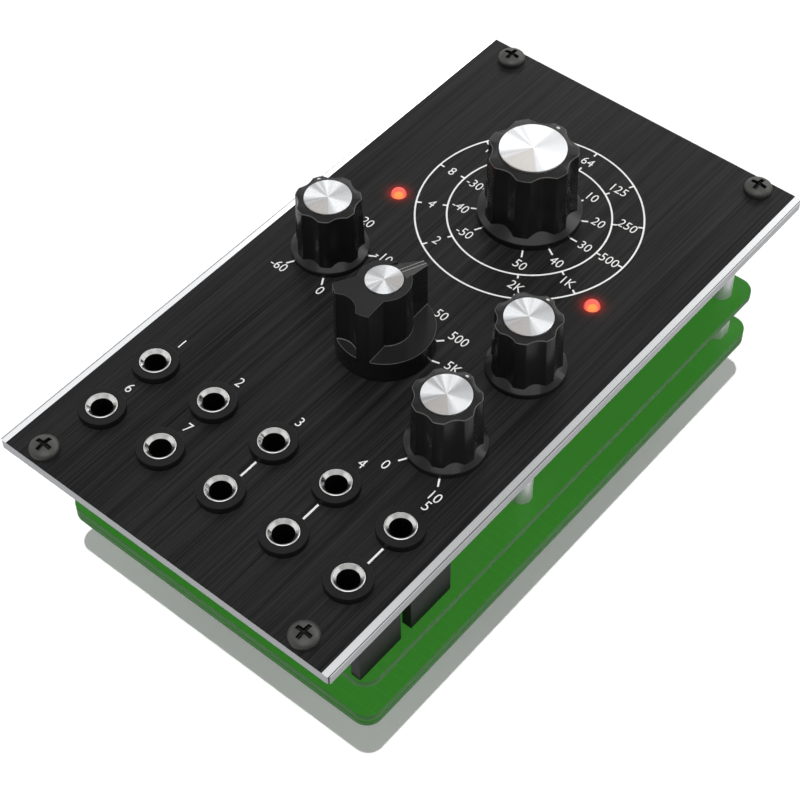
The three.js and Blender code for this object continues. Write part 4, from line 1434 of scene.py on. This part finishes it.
class MODULE_OT_board_parts(bpy.types.Operator):
    """Models the chips and the capacitors on the boards"""

    bl_idname = "module.board_parts"
    bl_label = "Board parts"

    def execute(self, context):
        epoxy = moulded_finish("chip_epoxy", (0.014, 0.014, 0.015), 0.55)
        tin = metal_finish("lead_solder", (0.62, 0.62, 0.61), 0.35)
        spacing_x, spacing_y = 15.05 * MM, 24.8 * MM
        places = [(x, spacing_y, UPPER_BOTTOM, True) for x in (-spacing_x, spacing_x)]
        places += [(0.0, y, LOWER_TOP, False) for y in (-spacing_y, 0.0, spacing_y)]
        chip, legs = self.chip()
        for number, (x, y, level, hanging) in enumerate(places, 1):
            for part, name, material in ((chip, "chip", epoxy), (legs, "chip_legs", tin)):
                piece = copy_piece(part, (x, y), height=level, upside_down=hanging)
                dress(piece, f"{name}_{number}", "board_green", material)
        discard(chip, legs)
        self.capacitors()
        return {"FINISHED"}

    def chip(self):
        """A moulded body on two rows of bent legs, standing on level 0."""
        half_width, half_length, gap, top = 1.95 * MM, 4.95 * MM, 0.12 * MM, 1.6 * MM
        body = round_edges(add_post(half_width, half_length, gap, top), EDGE)
        drill(body, 0.35 * MM, top - NEAR, top + PAST, 32, x=-1.2 * MM, y=4.2 * MM)
        legs, pitch, first = 8, 1.11 * MM, -4.1 * MM
        inner, outer, low, high, width = 1.8 * MM, 2.4 * MM, 0.7 * MM, 0.9 * MM, 0.4 * MM
        rows = []
        for turn in (180.0, 0.0):
            leg = add_block((inner, first, low), (outer, first + width, high))
            pick(leg, "FACE", lambda face: face.normal.x > 0.9)
            for bend in ((0.25 * MM, 0.0, -0.6 * MM), (0.35 * MM, 0.0, -0.1 * MM)):
                bpy.ops.mesh.extrude_region_move(TRANSFORM_OT_translate={"value": bend})
            close_edit()
            repeat(leg, legs, (0.0, pitch, 0.0))
            rows.append(put(leg, (0.0, 0.0), turn))
        return body, merge(rows)

    def capacitors(self):
        sleeve = moulded_finish("capacitor_sleeve", (0.03, 0.03, 0.035), 0.35)
        metal = metal_finish("capacitor_metal", (0.7, 0.7, 0.7), 0.3)
        radius, spacing = 3.15 * MM, 14 * MM
        can = add_rod(radius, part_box("rear_power_board")[0].z, REAR_BOTTOM, COARSE)
        step_faces(can, looks_down, 0.45 * MM, -0.05 * MM)
        groove = REAR_BOTTOM - 1.1 * MM
        for height in (groove + 0.4 * MM, groove, groove - 0.4 * MM):
            slice_piece(can, (0.0, 0.0, height), (0.0, 0.0, 1.0))
        waist = 0.92
        scale_vertices(can, lambda vertex: abs(vertex.co.z - groove) < NEAR / 2, waist, waist)
        round_edges(can, 0.15 * MM, 3, 60.0)
        y = axis_of("power_header").y
        for x, side in ((-spacing, "left"), (spacing, "right")):
            piece = copy_piece(can, (x, y))
            dress(piece, f"capacitor_{side}", "board_green", sleeve, metal)
            paint_faces(piece, 1, lambda face: face.normal.z < -0.9)
        discard(can)


class MODULE_OT_spacers(bpy.types.Operator):
    """Models the round spacers, the hexagonal standoffs and the screw heads on them"""

    bl_idname = "module.spacers"
    bl_label = "Spacers"

    def execute(self, context):
        look = {"stretch": (1.0, 1.0, 0.1), "metallic": 0.5}
        nickel = metal_finish("spacer_nickel", (0.66, 0.67, 0.67), 0.34, **look)
        tube_radius, corner_radius = 1.9 * MM, 2.54 * MM
        tube = round_edges(add_rod(tube_radius, UPPER_TOP, REAR, COARSE), 0.1 * MM)
        screwed_tube = merge([copy_piece(tube, (0.0, 0.0)), self.head(UPPER_BOTTOM)])
        column = round_edges(add_rod(corner_radius, LOWER_TOP, UPPER_BOTTOM, 6), EDGE)
        column = merge([column, self.head(REAR_BOTTOM)])
        kinds = (
            (tube, "spacer_upper", "panel_spacer_upper"),
            (screwed_tube, "spacer_lower", "panel_spacer_lower"),
            (column, "standoff", "hex_standoff"),
        )
        for piece, name, node in kinds:
            for side in ("left", "right"):
                nodes = [f"{node}_{side}"]
                spacer = copy_piece(piece, axis_of(nodes[0]))
                dress(spacer, f"{name}_{side}", "spacer_nickel", nickel, nodes=nodes)
        discard(tube, screwed_tube, column)
        return {"FINISHED"}

    def head(self, level):
        radius, edge_height, height = 2.2 * MM, 0.6 * MM, 1.5 * MM
        head = screw_head(radius, edge_height, height, (1.2 * MM, 0.25 * MM, 0.7 * MM))
        return put(head, (0.0, 0.0), height=level, upside_down=True)


class MODULE_OT_power_header(bpy.types.Operator):
    """Models the shrouded header on the rear board and its pins"""

    bl_idname = "module.power_header"
    bl_label = "Power header"

    def execute(self, context):
        plastic = moulded_finish("header_plastic", (0.018, 0.018, 0.018), 0.45)
        gold = metal_finish("pin_gold", (0.85, 0.6, 0.22), 0.25)
        low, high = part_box("power_header")
        wall, floor = 1.1 * MM, 2.2 * MM
        shell = add_block(low, high)
        pick(shell, "FACE", looks_down)
        bpy.ops.mesh.inset(thickness=wall)
        lift = {"value": (0.0, 0.0, high.z - low.z - floor)}
        bpy.ops.mesh.extrude_region_move(TRANSFORM_OT_translate=lift)
        close_edit()
        middle = (low + high) / 2
        half_key, key_height = 2.25 * MM, 5 * MM
        key_low = (high.x - 2 * wall, middle.y - half_key, low.z - PAST)
        key = add_block(key_low, (high.x + PAST, middle.y + half_key, low.z + key_height))
        combine(shell, key, "DIFFERENCE")
        round_edges(shell, 0.1 * MM)
        dress(shell, "header_shell", "socket_plastic", plastic, nodes=["power_header"])
        pitch, half, pin_length = 2.54 * MM, 0.32 * MM, 5.6 * MM
        pin_top = high.z - floor
        x, y = middle.x - pitch / 2, middle.y - 2 * pitch
        pin = add_post(half, half, pin_top - pin_length, pin_top, x, y)
        step_faces(pin, looks_down, half / 2, -0.2 * MM)
        repeat(pin, 5, (0.0, pitch, 0.0))
        repeat(pin, 2, (pitch, 0.0, 0.0))
        dress(pin, "header_pins", "socket_plastic", gold)
        return {"FINISHED"}


class MODULE_OT_controls(bpy.types.Operator):
    """Models the potentiometers and the rotary switch behind the panel"""

    bl_idname = "module.controls"
    bl_label = "Controls"

    def execute(self, context):
        zinc = metal_finish("zinc_steel", (0.52, 0.53, 0.55), 0.38, stretch=(1.0, 1.0, 0.2))
        base = moulded_finish("terminal_base", (0.03, 0.022, 0.015), 0.6)
        can, plate = self.potentiometer()
        for dial in FLUTED_DIALS:
            place = dial_place(dial)
            self.house(copy_piece(can, place), f"{dial}_pot_can", zinc, f"{dial}_potentiometer")
            self.house(copy_piece(plate, place), f"{dial}_pot_base", base)
        discard(can, plate)
        can, plate = self.switch()
        place = dial_place("selector")
        self.house(put(can, place), "switch_can", zinc, "selector_switch")
        self.house(put(plate, place), "switch_base", base)
        for dial in DIALS:
            paint_node(f"{dial}_shaft", zinc)
        plastic = moulded_finish("connector_plastic", (0.016, 0.016, 0.017), 0.5)
        for side in ("left", "right"):
            paint_node(f"board_connector_{side}", plastic)
        return {"FINISHED"}

    def house(self, piece, name, material, *nodes):
        dress(piece, name, "zinc_steel", material, nodes=nodes)

    def potentiometer(self):
        """A can with three pins in a row, and the base plate that holds them."""
        row_y, back_y, half_width = -7.0 * MM, 0.4 * MM, 6.2 * MM
        pin_x, pin_half_x, pin_half_y = 5 * MM, 0.6 * MM, 0.4 * MM
        can, bottom = self.can(7.8 * MM, 8.0 * MM)
        pins = []
        for x in (-pin_x, 0.0, pin_x):
            pin = add_post(pin_half_x, pin_half_y, UPPER_TOP, bottom - 0.2 * MM, x, row_y)
            pins.append(round_edges(pin, PIN_EDGE))
        low = (-half_width, row_y - pin_half_y, bottom - 1.4 * MM)
        plate = add_block(low, (half_width, back_y, bottom + NEAR))
        return merge([can, *pins]), round_edges(plate, 0.15 * MM)

    def switch(self):
        """A can with eight pins on a circle, and its base plate."""
        can, bottom = self.can(10.4 * MM, 7.8 * MM)
        plate = add_rod(10.1 * MM, bottom - 1.2 * MM, bottom + NEAR)
        count, circle, half = 8, 8.74 * MM, 0.4 * MM
        pins = []
        for step in range(count):
            angle = (step + 0.5) * 2 * math.pi / count
            x, y = circle * math.cos(angle), circle * math.sin(angle)
            pin = add_post(half, half, UPPER_TOP, bottom - MM, x, y)
            pins.append(round_edges(pin, PIN_EDGE))
        return merge([can, *pins]), round_edges(plate, 0.15 * MM)

    def can(self, radius, height):
        """A round can with its threaded bushing and nut, and the level of its bottom."""
        bushing_radius, bore, bushing_top = 3.5 * MM, 2.75 * MM, FACE + 4.5 * MM
        nut_corner, nut_hole, nut_top = 5.19 * MM, 3.3 * MM, FACE + 1.4 * MM
        bottom = REAR - height
        can = round_edges(add_rod(radius, bottom, REAR), 0.5 * MM, 4, 60.0)
        bushing = add_rod(bushing_radius, REAR - 0.3 * MM, bushing_top, COARSE)
        drill(round_edges(bushing, 0.2 * MM), bore, FACE - PAST, bushing_top + PAST, COARSE)
        nut = round_edges(add_rod(nut_corner, FACE, nut_top, 6), EDGE)
        drill(nut, nut_hole, FACE - PAST, nut_top + PAST, COARSE)
        return merge([can, bushing, nut]), bottom


class MODULE_OT_stage(bpy.types.Operator):
    """Sets the floor, the lights and the camera"""

    bl_idname = "module.stage"
    bl_label = "Stage"

    def execute(self, context):
        looks = context.scene.stage_looks
        self.floor(looks)
        self.world(looks, context.scene)
        self.key_light(looks)
        self.camera(context.scene)
        context.scene.view_settings.view_transform = "Standard"
        return {"FINISHED"}

    def floor(self, looks):
        deselect()
        bpy.ops.mesh.primitive_plane_add(size=6.0)
        floor = bpy.context.object
        floor.name = "floor"
        finish = Finish("pale_floor", Roughness=0.9, Specular_IOR_Level=0.0, Emission_Strength=1.0)
        source = finish.source
        patches = source.noise(source.place(), 30.0, 2.0)
        seen = source.node("ShaderNodeLightPath", output="Is Camera Ray")
        finish.set(
            Base_Color=source.mix(patches * 0.1, looks.floor, tint(looks.floor, 0.97)),
            Emission_Color=source.mix(seen, (0.0, 0.0, 0.0), [looks.floor_lift] * 3),
        )
        floor.data.materials.append(finish.material)

    def world(self, looks, scene):
        """Even light from all round. Glossy surfaces mirror a studio: a pale room with a dim
        band high up and before the module, a long light behind it and three soft boxes."""
        world = bpy.data.worlds.new("studio")
        world.use_nodes = True
        scene.world = world
        source = Socket(world.node_tree)
        path = {
            ray: source.node("ShaderNodeLightPath", output=f"Is {ray} Ray")
            for ray in ("Camera", "Glossy", "Transmission")
        }
        seen = path["Camera"].most(path["Transmission"])
        direction = source.node("ShaderNodeTexCoord", output="Generated")
        x, y, z = source.axes(direction)
        room = 1.05 * source.ramp(z, *STUDIO_ROOM)
        screen = source.ramp(abs(x + 0.105), (0.05, 1.0), (0.12, 0.0)) * y.over(0.2)
        room = room + screen * (source.ramp(z, *STUDIO_SCREEN) - room)
        toward, aside = source.turned(x, y, CAMERA_WAY)
        front = source.ramp(toward, (0.35, 0.0), (0.6, 1.0))
        room = room * (1.0 - 0.6 * front * source.ramp(z, (0.45, 1.0), (0.8, 0.0)))
        behind = source.ramp(-1.0 * toward, (0.3, 0.0), (0.5, 1.0))
        behind = behind * source.ramp(aside + 0.5, (0.28, 0.0), (0.42, 1.0))
        room = room + BACK_LIGHT * behind * source.ramp(z, *BACK_HEIGHTS)
        dot = {"operation": "DOT_PRODUCT"}
        for way, radius, strength in SOFT_BOXES:
            inputs = {0: direction, 1: Vector(way).normalized()}
            near = source.node("ShaderNodeVectorMath", dot, inputs, output=1)
            edge, core = (math.cos(math.radians(radius + step)) for step in (2.0, -2.0))
            room = room + strength * source.ramp(near, (edge, 0.0), (core, 1.0))
        around = looks.fill * source.ramp(z, *STUDIO_FILL)
        plain = around + (1.0 - around) * seen
        strength = path["Glossy"] * room + (1.0 - path["Glossy"]) * plain
        background = world.node_tree.nodes["Background"]
        background.inputs["Color"].default_value = (1.0, 1.0, 1.0, 1.0)
        world.node_tree.links.new(strength.output, background.inputs["Strength"])

    def key_light(self, looks):
        """A broad light far above. Only the rear board holds it back, as in the product picture."""
        bpy.ops.object.light_add(type="SUN", location=(0.0, 0.0, 1.0))
        light = bpy.context.object
        light.name = "key_light"
        light.data.energy = looks.key * math.pi
        light.data.angle = math.radians(2.0)
        light.visible_glossy = False
        boards = bpy.data.collections.new("key_light_blockers")
        boards.objects.link(bpy.data.objects["rear_power_board_green"])
        light.light_linking.blocker_collection = boards

    def camera(self, scene):
        bpy.ops.object.camera_add(location=CAMERA_PLACE)
        camera = bpy.context.object
        camera.rotation_euler = [math.radians(turn) for turn in CAMERA_TURNS]
        camera.data.sensor_width = 36.0
        camera.data.lens = CAMERA_LENS
        camera.data.clip_start = 0.01
        scene.camera = camera


OPERATORS = (
    MODULE_OT_panel,
    MODULE_OT_printing,
    MODULE_OT_rack_screws,
    MODULE_OT_sockets,
    MODULE_OT_fluted_knobs,
    MODULE_OT_selector_knob,
    MODULE_OT_knob_caps,
    MODULE_OT_lamps,
    MODULE_OT_boards,
    MODULE_OT_board_parts,
    MODULE_OT_spacers,
    MODULE_OT_power_header,
    MODULE_OT_controls,
    MODULE_OT_stage,
)


class MODULE_PT_pieces(bpy.types.Panel):
    """Lists the pieces of the module"""

    bl_idname = "MODULE_PT_pieces"
    bl_label = "Rack module"
    bl_space_type = "VIEW_3D"
    bl_region_type = "UI"
    bl_category = "Module"

    def draw(self, context):
        for operator in OPERATORS:
            self.layout.operator(operator.bl_idname)


CLASSES = (*GROUPS.values(), *OPERATORS, MODULE_PT_pieces)


def register():
    for one in CLASSES:
        bpy.utils.register_class(one)
    for name, group in GROUPS.items():
        setattr(bpy.types.Scene, name, PointerProperty(type=group))


def unregister():
    for name in GROUPS:
        delattr(bpy.types.Scene, name)
    for one in reversed(CLASSES):
        bpy.utils.unregister_class(one)


def main():
    register()
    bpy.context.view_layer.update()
    for operator in OPERATORS:
        group, name = operator.bl_idname.split(".")
        getattr(getattr(bpy.ops, group), name)()


if __name__ == "__main__":
    main()
